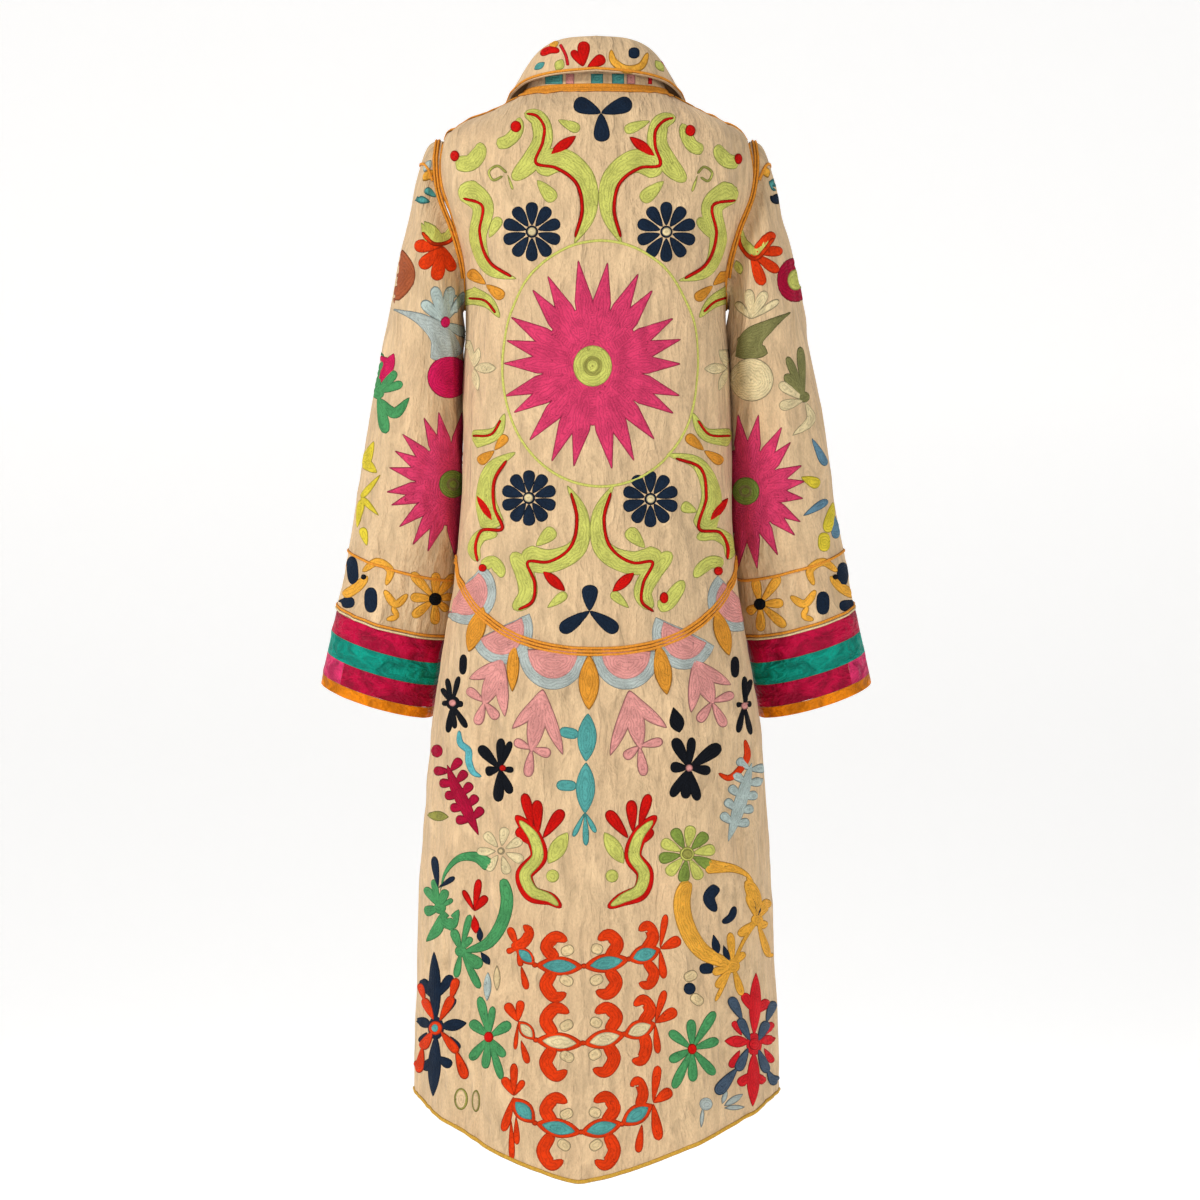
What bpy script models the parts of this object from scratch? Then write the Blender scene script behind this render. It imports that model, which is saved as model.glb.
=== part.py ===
"""A long quilted cotton coat with applique, worn open edge to edge, as it stands when filled out with no wearer.

Metres, +Z up. The back of the coat faces -Y, and +X is on the right of someone who looks at the back.
The origin is on the wearer's shoulder line, in the middle of the neck, where the shoulders hold the coat up.

The cloth is drawn on charts. A chart is a surface that is read by metres across and metres along it, so a
seam, an edge or a raised flower keeps its real size on the cloth. Each cut piece is an outline on a chart.
"""

import math

import bmesh
import bpy
import numpy as np
from mathutils import Vector
from mathutils.geometry import delaunay_2d_cdt

MM = 0.001

# Driving dimensions
WALL = 2.4 * MM  # quilted cotton and its backing, as one wall
SEAM = 0.3 * MM  # clearance between two sewn pieces
LIFT = 0.45 * MM  # clearance between a piping and the cloth under it
RAISE = 1.0 * MM  # how far the applique stands above the ground cloth
BEVEL = 1.6 * MM  # width of the sloping edge of the applique

NECK_DOWN = -27 * MM  # the neckline, above the shoulder line at the centre of the back
SHOULDER_ANGLE = math.radians(86)  # the shoulder seam lies a little behind the top of the shoulder
SIDE_ANGLE = math.radians(90)
YOKE_CENTRE, YOKE_SIDE = 583 * MM, 483 * MM  # depth of the curved back seam at the centre and at the sides
HEM_SIDE, HEM_BACK_DROP, HEM_FRONT_DROP = 1067 * MM, 79 * MM, 40 * MM
HEM_LOWEST = -0.09  # where across the back the hem hangs lowest, as a share of the half width
FRONT_GAP_TOP, FRONT_GAP_SPREAD = 4 * MM, 14 * MM  # half of the gap between the fronts, and how it opens downwards

HOLE_MIDDLE, HOLE_REACH = 123 * MM, 85 * MM  # the armhole's depth below the shoulder line, and half its height
HOLE_TURN = math.radians(15.3)  # half the angle that the armhole takes of the body
HOLE_BLEND = 50 * MM  # the sleeve takes its own section over this length
CAP_ANGLE, CAP_REACH = math.radians(74), 30 * MM  # the cap seam leaves the armhole here, and reaches this far out

SLEEVE_SEAM, BAND_SEAM, TEAL_SEAM, LOWER_SEAM, BINDING_SEAM, CUFF_END = (
    v * MM for v in (383, 449.5, 474, 498.5, 523, 535)
)
PATCH_REACH = 48 * MM  # half the width of the pink patch, each side of the sleeve's outer line

COLLAR_STAND, COLLAR_FALL = 55 * MM, 46 * MM
NECK_BACK_TURNS = np.linspace(0, SHOULDER_ANGLE, 10)
NECK_FRONT_TURNS = np.linspace(SHOULDER_ANGLE, math.radians(176.5), 11)


def table(columns, rows, plain=()):
    """A table with named columns. Sizes are written in millimetres, and the plain columns have no unit."""
    values = np.array(rows, float)
    return {
        name: values[:, i] * (1 if name in plain else MM)
        for i, name in enumerate(columns.split())
    }


# Sections of the body, from the neckline to below the hem.
# down is the depth at the centre of the back, side and front are the heights of the same ring there.
BODY = table(
    "down side front half_width back_depth front_depth squareness",
    [
        (-27, 28, -52, 79, 62, 74, 2.0),
        (-12, 14, -61, 105, 80, 88, 2.1),
        (8, -1, -72, 137, 95, 100, 2.3),
        (30, -17, -85, 163, 105, 109, 2.5),
        (52, -38, -100, 171, 112, 115, 2.6),
        (90, -84, -124, 171, 118, 122, 2.6),
        (130, -128, -150, 156, 121, 126, 2.6),
        (170, -169, -180, 145, 122, 128, 2.6),
        (210, -210, -214, 142, 121, 127, 2.5),
        (260, -260, -261, 145, 119, 122, 2.4),
        (360, -360, -360, 147, 114, 116, 2.3),
        (430, -430, -430, 149, 114, 114, 2.3),
        (484, -484, -484, 152.6, 118, 114, 2.3),
        (528, -528, -528, 158, 122, 116, 2.3),
        (572, -572, -572, 164.8, 126, 119, 2.3),
        (616, -616, -616, 172, 130, 122, 2.3),
        (660, -660, -660, 178, 133, 125, 2.3),
        (748, -748, -748, 185, 137, 128, 2.2),
        (858, -858, -858, 191, 141, 132, 2.2),
        (968, -968, -968, 195, 144, 135, 2.2),
        (1067, -1067, -1067, 197, 146, 137, 2.2),
        (1200, -1200, -1200, 199, 148, 139, 2.2),
    ],
    plain=("squareness",),
)

# Sections of a sleeve, from the armhole to the cuff. Each is a ring between an inner and an outer point.
# back_drop is how much lower the ring is at the back, because the sleeve leans forward.
SLEEVE = table(
    "along inner_x inner_z outer_x outer_z half_depth centre_y back_drop",
    [
        (0, 142, -208, 168, -23, 38, 0, 0),
        (9, 143, -211, 172, -33, 48, 0, 0),
        (24, 144, -216, 183, -55, 58, 0, 0),
        (40, 145, -224, 197, -79, 64, 0, 1),
        (63, 145, -236, 206, -111, 68, 2, 2),
        (90, 145, -252, 215, -145, 70, 4, 3),
        (126, 146, -270, 225, -198, 70, 8, 4),
        (171, 147, -305, 235, -253, 68, 13, 5),
        (222, 148, -350, 247, -308, 65, 19, 6),
        (275, 149, -400, 256, -363, 62, 25, 7),
        (329, 151, -452, 264, -418, 58, 31, 8),
        (383, 156, -504, 274, -473, 55, 38, 9),
        (440, 164, -560, 286, -528, 53, 45, 10),
        (489, 172, -610, 297, -575, 52, 52, 10),
        (540, 182, -661, 308, -624, 51, 58, 10),
    ],
)

# The folds of the body. Each runs down the cloth from (across_top, starts) to (across_hem) at the hem.
# height is positive for a ridge and negative for a trough, and it grows from starts to full.
# inner_width is its reach towards the centre, outer_width away from it: unequal ones make a tuck's edge.
FOLDS = table(
    "across_top across_hem starts full height inner_width outer_width",
    [
        (-92, -118, 552, 700, 7.0, 75, 15),
        (84, 112, 520, 760, 4.5, 36, 50),
        (-14, -30, 620, 900, 2.6, 44, 44),
        (-170, -190, 560, 900, 3.0, 44, 44),
        (176, 200, 560, 900, 3.2, 44, 44),
        (-262, -276, 420, 900, 3.6, 46, 46),
        (262, 284, 420, 900, 3.6, 46, 46),
        (-350, -368, 480, 900, 3.2, 44, 44),
        (346, 372, 480, 900, 3.2, 44, 44),
        (-128, -122, 60, 130, -3.6, 26, 20),
        (128, 122, 60, 130, -3.6, 26, 20),
    ],
)
ARMPIT_FOLDS_END = 230 * MM  # the last two folds fade out here, below the armpit

# The collar's outer edge. ring is the body ring that it stands over, out and up are its distances from it.
COLLAR_EDGE = table(
    "angle ring out up",
    [
        (0, -27, 14, 15),
        (45, -27, 11, 10),
        (90, -20, 4, 5),
        (135, 8, 7, 4),
        (180, 42, 8, 4),
    ],
    plain=("angle",),
)
COLLAR_POINT_ANGLE = math.radians(158)  # the collar's points stand this far round the neck
FOLD_LINE = table(
    "angle x y z",
    [
        (0, 0, -51, 82),
        (30, 34, -45, 80),
        (60, 56, -26, 73),
        (90, 65, 4, 60),
        (120, 58, 36, 40),
        (150, 34, 58, 16),
        (180, 3, 68, -2),
    ],
    plain=("angle",),
)


def spline(at, knots, values):
    """A smooth curve through the values at increasing knots, read at an array of places."""
    at = np.clip(at, knots[0], knots[-1])
    i = np.clip(np.searchsorted(knots, at, side="right") - 1, 0, len(knots) - 2)
    step = np.diff(knots)
    rise = np.diff(values) / step
    slope = np.empty(len(knots))
    slope[1:-1] = (rise[:-1] * step[1:] + rise[1:] * step[:-1]) / (step[:-1] + step[1:])
    slope[0], slope[-1] = rise[0], rise[-1]
    t = (at - knots[i]) / step[i]
    return (
        values[i] * (2 * t**3 - 3 * t**2 + 1)
        + values[i + 1] * (3 * t**2 - 2 * t**3)
        + slope[i] * step[i] * (t**3 - 2 * t**2 + t)
        + slope[i + 1] * step[i] * (t**3 - t**2)
    )


def ease(t):
    """0 below 0, 1 above 1, and a smooth step between."""
    t = np.clip(t, 0, 1)
    return t * t * (3 - 2 * t)


def body_ring(angle, down):
    """The body with no folds. Angle 0 is the centre of the back."""
    side, front, width, back, chest, square = (
        spline(down, BODY["down"], BODY[name])
        for name in ("side", "front", "half_width", "back_depth", "front_depth", "squareness")
    )
    c, s = np.cos(angle), np.sin(angle)
    power = 2 / square
    x = width * np.sign(s) * np.abs(s) ** power
    y = -np.where(c > 0, back, chest) * np.sign(c) * np.abs(c) ** power
    z = side + (np.where(c > 0, -down, front) - side) * np.abs(c) ** 1.3
    return np.stack(np.broadcast_arrays(x, y, z), axis=-1)


def body_folds(across, down):
    """How far the folds push the body's cloth outwards."""
    out = np.zeros(np.broadcast(across, down).shape)
    rows = zip(*(FOLDS[name] for name in FOLDS))
    for top, hem, starts, full, height, inner, outer in rows:
        share = np.clip((down - starts) / (HEM_SIDE + HEM_BACK_DROP - starts), 0, 1)
        offset = (across - top - (hem - top) * share) * np.sign(top)
        width = np.where(offset < 0, inner, outer)
        grown = ease((down - starts) / (full - starts))
        if full < ARMPIT_FOLDS_END:
            grown = grown * (1 - ease((down - full) / (ARMPIT_FOLDS_END - full)))
        out += height * grown * (1 - ease(np.abs(offset) / width))
    return out


def armhole(angle):
    """The right armhole's edge on the body. Angle 0 is at the shoulder, and a quarter turn is at the back."""
    turned = SIDE_ANGLE - HOLE_TURN * np.sin(angle)
    return turned, HOLE_MIDDLE - HOLE_REACH * np.cos(angle)


def sleeve_ring(side):
    """The right sleeve for side 1, the left one for side -1. Angle 0 is the outer line."""

    def ring(angle, along):
        inner_x, inner_z, outer_x, outer_z, depth, centre_y, drop = (
            spline(along, SLEEVE["along"], SLEEVE[name]) for name in list(SLEEVE)[1:]
        )
        c, s = np.cos(angle), np.sin(angle)
        x = (outer_x + inner_x) / 2 + (outer_x - inner_x) / 2 * c
        y = centre_y - depth * s
        z = (outer_z + inner_z) / 2 + (outer_z - inner_z) / 2 * c - drop * s
        tube = np.stack(np.broadcast_arrays(x, y, z), axis=-1)
        hole = body_ring(*armhole(angle))
        hole = np.broadcast_to(hole, tube.shape).copy()
        hole[..., 0] += SEAM * 1.5 + along * (0.65 + 0.35 * c)
        share = ease(along / HOLE_BLEND)[..., None]
        point = hole * (1 - share) + tube * share
        point[..., 0] *= side
        return point

    return ring


def neck_ring(angle):
    """The line on which the collar stands, just inside the neckline and above it."""
    point = body_ring(angle, np.full_like(angle, NECK_DOWN))
    out = point * (1, 1, 0)
    out /= np.linalg.norm(out, axis=-1, keepdims=True)
    return point - out * SEAM + (0, 0, 1.3 * MM)


def fold_line(angle):
    """The collar's top fold."""
    turn = np.degrees(np.abs(angle))
    x, y, z = (spline(turn, FOLD_LINE["angle"], FOLD_LINE[name]) for name in "xyz")
    return np.stack(np.broadcast_arrays(x * np.sign(angle), y, z), axis=-1)


def collar_edge(angle):
    """The outer edge of the turned-down collar."""
    turn = np.degrees(np.abs(angle))
    ring, out, up = (spline(turn, COLLAR_EDGE["angle"], COLLAR_EDGE[name]) for name in ("ring", "out", "up"))
    far = ease((np.abs(angle) - math.radians(100)) / math.radians(80))
    turned = np.sign(angle) * (np.abs(angle) + (COLLAR_POINT_ANGLE - math.pi) * far)
    point = body_ring(turned, ring)
    away = point * (1, 1, 0)
    away /= np.linalg.norm(away, axis=-1, keepdims=True)
    return point + away * out[..., None] + np.stack(np.broadcast_arrays(0, 0, up), axis=-1)


def stand_ring(angle, along):
    """The collar's stand, from the neckline up to the fold."""
    share = (along / COLLAR_STAND)[..., None]
    angle = np.broadcast_to(angle, np.broadcast(angle, along).shape)
    return neck_ring(angle) * (1 - share) + fold_line(angle) * share


def fall_ring(angle, along):
    """The collar's fall, from the fold out and down to its edge."""
    t = (along / COLLAR_FALL)[..., None]
    angle = np.broadcast_to(angle, np.broadcast(angle, along).shape)
    top = fold_line(angle)
    away = (top - (0, 8 * MM, 0)) * (1, 1, 0)
    away /= np.linalg.norm(away, axis=-1, keepdims=True)
    run = fold_line(angle + 0.01) - fold_line(angle - 0.01)
    level = np.linalg.norm(run[..., :2], axis=-1) / np.linalg.norm(run, axis=-1)
    over = (WALL + 0.9 * MM + 2 * MM * ease((np.abs(angle) - math.radians(100)) / math.radians(50))) / level
    rise = np.stack([np.zeros_like(over), np.zeros_like(over), over], axis=-1)
    start = top - away * WALL + rise
    bend = top + away * 11 * MM + rise
    end = collar_edge(angle)
    return start * (1 - t) ** 2 + bend * 2 * t * (1 - t) + end * t**2


class Chart:
    """A surface made of rings, read by metres across it and metres along it."""

    def __init__(self, ring, first, last, folds=None, even=False):
        """An even chart measures across on its mean ring, so that its rings keep in step."""
        self.ring, self.folds = ring, folds
        self.alongs = np.linspace(first, last, 161)
        self.angles = np.linspace(-math.pi, math.pi, 721)
        net = ring(self.angles[None, :], self.alongs[:, None])
        steps = np.linalg.norm(np.diff(net, axis=1), axis=2)
        arc = np.concatenate([np.zeros((len(net), 1)), np.cumsum(steps, axis=1)], axis=1)
        if even:
            arc = np.repeat(arc.mean(axis=0)[None], len(arc), axis=0)
        self.arc = arc - arc[:, len(self.angles) // 2, None]
        self.acrosses = np.linspace(self.arc.min(), self.arc.max(), 961)
        self.angle_table = np.array([np.interp(self.acrosses, row, self.angles) for row in self.arc])
        self.outward = 1.0
        middle = net[80].mean(axis=0)
        start = self.normal(np.zeros(1), self.alongs[80:81])[0]
        if (start @ (self.point(np.zeros(1), self.alongs[80:81])[0] - middle)) < 0:
            self.outward = -1.0

    def read(self, values, columns, column, along):
        """A value between the four nearest entries of a table whose rows are the chart's alongs."""
        row = np.clip((along - self.alongs[0]) / (self.alongs[1] - self.alongs[0]), 0, len(self.alongs) - 1.001)
        col = np.clip((column - columns[0]) / (columns[1] - columns[0]), 0, len(columns) - 1.001)
        i, j = row.astype(int), col.astype(int)
        u, v = row - i, col - j
        return (values[i, j] * (1 - v) + values[i, j + 1] * v) * (1 - u) + (
            values[i + 1, j] * (1 - v) + values[i + 1, j + 1] * v
        ) * u

    def across(self, angle, along):
        """Metres across at an angle."""
        angle, along = np.broadcast_arrays(np.asarray(angle, float), np.asarray(along, float))
        return self.read(self.arc, self.angles, angle, along)

    def smooth(self, across, along):
        return self.ring(self.read(self.angle_table, self.acrosses, across, along), along)

    def slope(self, surface, across, along):
        """The unit normal of a surface function, by small steps across and along."""
        e = 0.4 * MM
        du = surface(across + e, along) - surface(across - e, along)
        dv = surface(across, along + e) - surface(across, along - e)
        n = np.cross(dv, du) * self.outward
        return n / np.maximum(np.linalg.norm(n, axis=-1, keepdims=True), 1e-12)

    def point(self, across, along):
        across, along = np.broadcast_arrays(np.asarray(across, float), np.asarray(along, float))
        if self.folds is None:
            return self.smooth(across, along)
        push = self.folds(across, along)[..., None]
        return self.smooth(across, along) + push * self.slope(self.smooth, across, along)

    def normal(self, across, along):
        return self.slope(self.point, across, along)


def inside(points, outline):
    """Which points lie inside a closed outline."""
    x, y = points[:, 0, None], points[:, 1, None]
    a, b = outline, np.roll(outline, -1, axis=0)
    with np.errstate(divide="ignore", invalid="ignore"):
        cut = a[:, 0] + (y - a[:, 1]) * (b[:, 0] - a[:, 0]) / (b[:, 1] - a[:, 1])
    crossed = ((a[:, 1] > y) != (b[:, 1] > y)) & (x < cut)
    return crossed.sum(axis=1) % 2 == 1


def distance(points, outline):
    """How far each point is from a closed outline."""
    a, b = outline, np.roll(outline, -1, axis=0)
    run = b - a
    from_a = points[:, None, :] - a[None]
    share = np.clip((from_a * run).sum(axis=2) / np.maximum((run * run).sum(axis=1), 1e-18), 0, 1)
    return np.linalg.norm(from_a - share[..., None] * run, axis=2).min(axis=1)


def inset(outline, by):
    """A closed outline moved inwards. The outline runs anticlockwise."""
    before = outline - np.roll(outline, 1, axis=0)
    after = np.roll(outline, -1, axis=0) - outline
    normals = []
    for run in (before, after):
        run = run / np.linalg.norm(run, axis=1, keepdims=True)
        normals.append(np.stack([-run[:, 1], run[:, 0]], axis=1))
    mean = normals[0] + normals[1]
    mean /= np.linalg.norm(mean, axis=1, keepdims=True)
    reach = np.maximum((mean * normals[0]).sum(axis=1, keepdims=True), 0.4)
    return outline + mean * by / reach


def anticlockwise(outline):
    x, y = outline.T
    area = (x * np.roll(y, -1) - np.roll(x, -1) * y).sum()
    return outline if area > 0 else outline[::-1]


def triangulate(points, edges, squeeze):
    """Triangles of the plane inside the edges, longer along the cloth where squeeze is below 1.
    It gives the points, the faces and where each input point went."""
    scale = np.array([1, squeeze]) / MM
    found = delaunay_2d_cdt([Vector(p) for p in points * scale], edges, [], 1, 1e-4)
    out = np.array([tuple(p) for p in found[0]]) / scale
    place = {old: new for new, olds in enumerate(found[3]) for old in olds}
    return out, [tuple(face) for face in found[2]], place


def ring_edges(start, count):
    return [(start + i, start + (i + 1) % count) for i in range(count)]


def kept_edges(start, kept, closed):
    """Edges along a line, where both of their ends are kept."""
    count = len(kept)
    last = count if closed else count - 1
    return [(start + i, start + (i + 1) % count) for i in range(last) if kept[i] and kept[(i + 1) % count]]


def net_inside(outline, across_step, along_step, clear):
    """A grid of points inside an outline, none nearer to it than clear."""
    low, high = outline.min(axis=0), outline.max(axis=0)
    counts = [max(1, round(size / step)) for size, step in zip(high - low, (across_step, along_step))]
    xs, ys = (np.linspace(low[k], high[k], counts[k] + 1)[1:-1] for k in range(2))
    grid = np.array([(x, y) for y in ys for x in xs]).reshape(-1, 2)
    grid = grid[inside(grid, outline)]
    return grid[distance(grid, outline) > clear]


def height_over(points, shapes):
    """How far the applique raises each point."""
    raised = np.zeros(len(points))
    for shape in shapes:
        near = (points > shape.min(axis=0)).all(axis=1) & (points < shape.max(axis=0)).all(axis=1)
        if not near.any():
            continue
        chosen = points[near]
        depth = np.where(inside(chosen, shape), distance(chosen, shape), 0)
        raised[near] = np.maximum(raised[near], RAISE * np.clip(depth / BEVEL, 0, 1))
    return raised


def new_object(name, points, faces, colour, smooth_angle=50):
    mesh = bpy.data.meshes.new(name)
    mesh.from_pydata([tuple(p) for p in points], [], faces)
    work = bmesh.new()
    work.from_mesh(mesh)
    bmesh.ops.recalc_face_normals(work, faces=work.faces)
    work.to_mesh(mesh)
    work.free()
    mesh.shade_smooth()
    mesh.set_sharp_from_angle(angle=math.radians(smooth_angle))
    mesh.materials.append(cloth(colour))
    made = bpy.data.objects.new(name, mesh)
    bpy.context.scene.collection.objects.link(made)
    return made


COLOURS = {  # linear colour and roughness of each cloth
    "sand": (0.72, 0.50, 0.30, 0.9),
    "magenta": (0.52, 0.01, 0.09, 0.7),
    "teal": (0.01, 0.36, 0.27, 0.7),
    "pink": (0.75, 0.05, 0.18, 0.7),
    "orange": (0.90, 0.32, 0.02, 0.8),
    "gold": (0.78, 0.36, 0.06, 0.8),
}


def cloth(colour):
    """A cotton cloth of one colour."""
    found = bpy.data.materials.get(colour)
    if found:
        return found
    made = bpy.data.materials.new(colour)
    made.use_nodes = True
    shader = made.node_tree.nodes["Principled BSDF"]
    *rgb, roughness = COLOURS[colour]
    shader.inputs["Base Color"].default_value = (*rgb, 1)
    shader.inputs["Roughness"].default_value = roughness
    shader.inputs["Metallic"].default_value = 0
    return made


def panel(name, chart, outline, colour, across_step, along_step, shapes=(), creases=(), thickness=WALL):
    """A cut piece of cloth: an outline on a chart, as a closed wall with its applique raised on the outside."""
    outline = inset(anticlockwise(outline), SEAM / 2)
    count = len(outline)
    clear = 0.42 * min(across_step, along_step)
    plain = net_inside(outline, across_step, along_step, clear)
    for line in creases:
        gap = np.linalg.norm(plain[:, None] - line[None], axis=2).min(axis=1)
        plain = plain[gap > 7 * MM]
    squeeze = across_step / along_step

    def with_lines(grid, loops):
        points, edges = [outline, grid], ring_edges(0, count)
        start = count + len(grid)
        drawn = [(line, False, 3 * MM) for line in creases] + [(loop, True, 1.2 * MM) for loop in loops]
        for line, closed, clear_of_edge in drawn:
            kept = inside(line, outline) & (distance(line, outline) > clear_of_edge)
            edges += kept_edges(start, kept, closed)
            points.append(np.where(kept[:, None], line, outline[:1]))
            start += len(line)
        return triangulate(np.concatenate(points), edges, squeeze)

    shapes = [anticlockwise(shape) for shape in shapes]
    loops = [loop for shape in shapes for loop in (shape, inset(shape, BEVEL))]
    grid = plain
    if loops:
        gap = np.linalg.norm(plain[:, None] - np.concatenate(loops)[None], axis=2).min(axis=1)
        grid = plain[gap > 8 * MM]
    outer, outer_faces, outer_at = with_lines(grid, loops)
    inner, inner_faces, inner_at = with_lines(plain, [])
    raised = height_over(outer, shapes)
    out_points = chart.point(*outer.T) + chart.normal(*outer.T) * raised[:, None]
    in_points = chart.point(*inner.T) - chart.normal(*inner.T) * thickness
    faces = list(outer_faces)
    faces += [tuple(len(outer) + k for k in reversed(face)) for face in inner_faces]
    for i in range(count):
        j = (i + 1) % count
        a, b, c, d = outer_at[i], len(outer) + inner_at[i], len(outer) + inner_at[j], outer_at[j]
        # pieces that meet on a seam split its wall the same way
        if tuple(outline[i]) < tuple(outline[j]):
            faces += [(a, b, c), (a, c, d)]
        else:
            faces += [(a, b, d), (b, c, d)]
    return new_object(name, np.concatenate([out_points, in_points]), faces, colour)


def piping(name, chart, line, colour, half_width, height, closed=False, lift=LIFT):
    """A piping cord sewn on the cloth along a line of the chart, with a flat foot."""
    points = chart.point(*line.T)
    normals = chart.normal(*line.T)
    if closed:
        tangents = np.roll(points, -1, axis=0) - np.roll(points, 1, axis=0)
    else:
        tangents = np.gradient(points, axis=0)
    sides = np.cross(normals, tangents)
    sides /= np.linalg.norm(sides, axis=1, keepdims=True)
    profile = ((-1, 0), (1, 0), (0, 1))
    corners = np.stack(
        [points + sides * (u * half_width) + normals * (lift + v * height) for u, v in profile], axis=1
    )
    count, round_count = len(points), len(profile)
    faces = []
    for i in range(count if closed else count - 1):
        a, b = i * round_count, (i + 1) % count * round_count
        for k in range(round_count):
            m = (k + 1) % round_count
            faces.append((a + k, a + m, b + m, b + k))
    if not closed:
        faces.append(tuple(reversed(range(round_count))))
        faces.append(tuple((count - 1) * round_count + k for k in range(round_count)))
    return new_object(name, corners.reshape(-1, 3), faces, colour)


# Outlines of the applique, in millimetres, x to the right and y up
def rays(radius, notch, count):
    """A sunburst with pointed rays."""
    turn = np.arange(2 * count) * math.pi / count
    reach = np.where(np.arange(2 * count) % 2 == 0, radius, notch)
    return np.stack([reach * np.sin(turn), reach * np.cos(turn)], axis=1)


PETAL_SAMPLES = 3  # points on the outline of one petal


def lobes(radius, notch, count):
    """A flower with round petals."""
    turn = np.arange(count * PETAL_SAMPLES) / (count * PETAL_SAMPLES) * 2 * math.pi
    wave = np.abs(np.sin(turn * count / 2)) ** 0.6
    reach = notch + (radius - notch) * wave
    turn = turn + math.pi / count
    return np.stack([reach * np.sin(turn), reach * np.cos(turn)], axis=1)


def leaf(path, width, samples=7):
    """A leaf along a curved path, pointed at both ends."""
    path = np.array(path, float)
    knots = np.linspace(0, 1, len(path))
    t = np.linspace(0, 1, samples)
    line = np.stack([spline(t, knots, path[:, k]) for k in range(2)], axis=1)
    run = np.gradient(line, axis=0)
    run /= np.linalg.norm(run, axis=1, keepdims=True)
    half = np.sin(math.pi * t)[:, None] ** 0.9 * width / 2
    side = np.stack([-run[:, 1], run[:, 0]], axis=1) * half
    return np.concatenate([(line + side)[1:-1], line[-1:], (line - side)[1:-1][::-1], line[:1]])


def half_disc(radius, samples=8):
    """A scallop that hangs from its straight side."""
    turn = np.linspace(math.pi, 2 * math.pi, samples)
    round_side = np.stack([radius * np.cos(turn), radius * np.sin(turn)], axis=1)
    straight = np.array([(radius * share, 0) for share in (0.5, 0, -0.5)])
    return np.concatenate([round_side, straight])


def placed(shape, across, down, turned=0.0, flip=1):
    """An applique outline on a chart, in metres. Turned is in degrees, anticlockwise."""
    a = math.radians(turned)
    x, y = shape[:, 0] * flip, shape[:, 1]
    u, v = x * math.cos(a) - y * math.sin(a), x * math.sin(a) + y * math.cos(a)
    return np.stack([across + u, down - v], axis=1) * MM


SCROLL = ((0, 0), (14, 26), (8, 56), (-20, 78))  # a curved leaf of the vine around the sunburst
HORN = ((0, 0), (26, 8), (44, 34), (44, 72))
GARLAND_LINKS = (-66, -33, 0, 33, 66)


def yoke_down(angle):
    """Depth of the curved seam across the back."""
    return YOKE_SIDE + (YOKE_CENTRE - YOKE_SIDE) * np.abs(np.cos(angle)) ** 1.3


def hem_down(angle):
    """Depth of the hem. At the back it hangs lowest a little to the left, and rises almost straight to the sides."""
    front = HEM_FRONT_DROP * np.abs(np.cos(angle)) ** 2.7
    share = np.sign(np.sin(angle)) * np.abs(np.sin(angle)) ** 0.91
    reach = np.where(share > HEM_LOWEST, 1 - HEM_LOWEST, 1 + HEM_LOWEST)
    back = HEM_BACK_DROP * (1 - (np.abs(share - HEM_LOWEST) / reach) ** 1.35)
    return HEM_SIDE + np.where(np.cos(angle) > 0, np.maximum(back, 0), front)


def upper_back_applique():
    shapes = [placed(rays(110, 72, 22), 2, 270)]
    for across, down in ((-70, 124), (79, 124), (-72, 414), (68, 416)):
        shapes.append(placed(lobes(31, 15, 10), across, down))
    for turned, flip in ((-28, 1), (28, -1), (-152, 1), (152, -1)):
        base_across = -flip * 96 if abs(turned) < 90 else -flip * 92
        base_down = 150 if abs(turned) < 90 else 398
        shapes.append(placed(leaf(SCROLL, 26), base_across, base_down, turned, flip))
    for across, flip in ((-24, 1), (28, -1)):
        shapes.append(placed(leaf(HORN, 24), across - flip * 38, 118, 0, flip))
        shapes.append(placed(leaf(HORN, 24), across - flip * 38, 424, 180, -flip))
    return shapes


def lower_back_applique():
    shapes = []
    for across, down, turned in ((-34, 584, -4), (34, 584, 4), (-100, 562, -18), (100, 562, 18)):
        shapes.append(placed(half_disc(34), across, down + 14, turned))
    for across, down, length in ((0, 592, 56), (-68, 584, 58), (68, 584, 58)):
        shapes.append(placed(leaf(((0, 0), (0, -length)), 19), across, down + 8))
    for across, down in ((-114, 708), (98, 708), (-168, 630), (168, 628)):
        shapes.append(placed(lobes(27, 9, 8), across, down))
    for across, down in ((0, 684), (0, 752)):
        shapes.append(placed(leaf(((0, 30), (0, -30)), 26), across, down))
    for across, down in ((-132, 1000), (104, 1000)):
        shapes.append(placed(lobes(36, 14, 8), across, down))
    for across in (-196, 176):
        shapes.append(placed(lobes(52, 14, 8), across, 992))
    for down in (922, 1006, 1094):
        for link in GARLAND_LINKS:
            shapes.append(placed(leaf(((0, 20), (0, -20)), 15, 5), link, down - abs(link) * 0.1, 90))
    return shapes


def front_applique(side):
    """The hidden fronts have the same flowers, laid out plainly."""
    shapes = []
    for across, down, shape in (
        (330, 300, rays(62, 40, 16)),
        (352, 720, lobes(40, 14, 6)),
    ):
        shapes.append(placed(shape, side * across, down))
    return shapes


def sleeve_applique():
    """Applique of a sleeve: the sunburst at its back and flowers round it."""
    return [
        placed(rays(72, 46, 15), 132, 304),
        placed(lobes(24, 10, 6), 78, 150),
        placed(lobes(26, 10, 6), -70, 200),
        placed(rays(50, 32, 12), -95, 304),
    ]


def polyline(*parts):
    """One closed line from several runs, each without its last point."""
    return np.concatenate([part[:-1] for part in parts])


def on_body(chart, angle, down):
    angle, down = np.broadcast_arrays(np.asarray(angle, float), np.asarray(down, float))
    return np.stack([chart.across(angle, down), down], axis=1)


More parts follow.
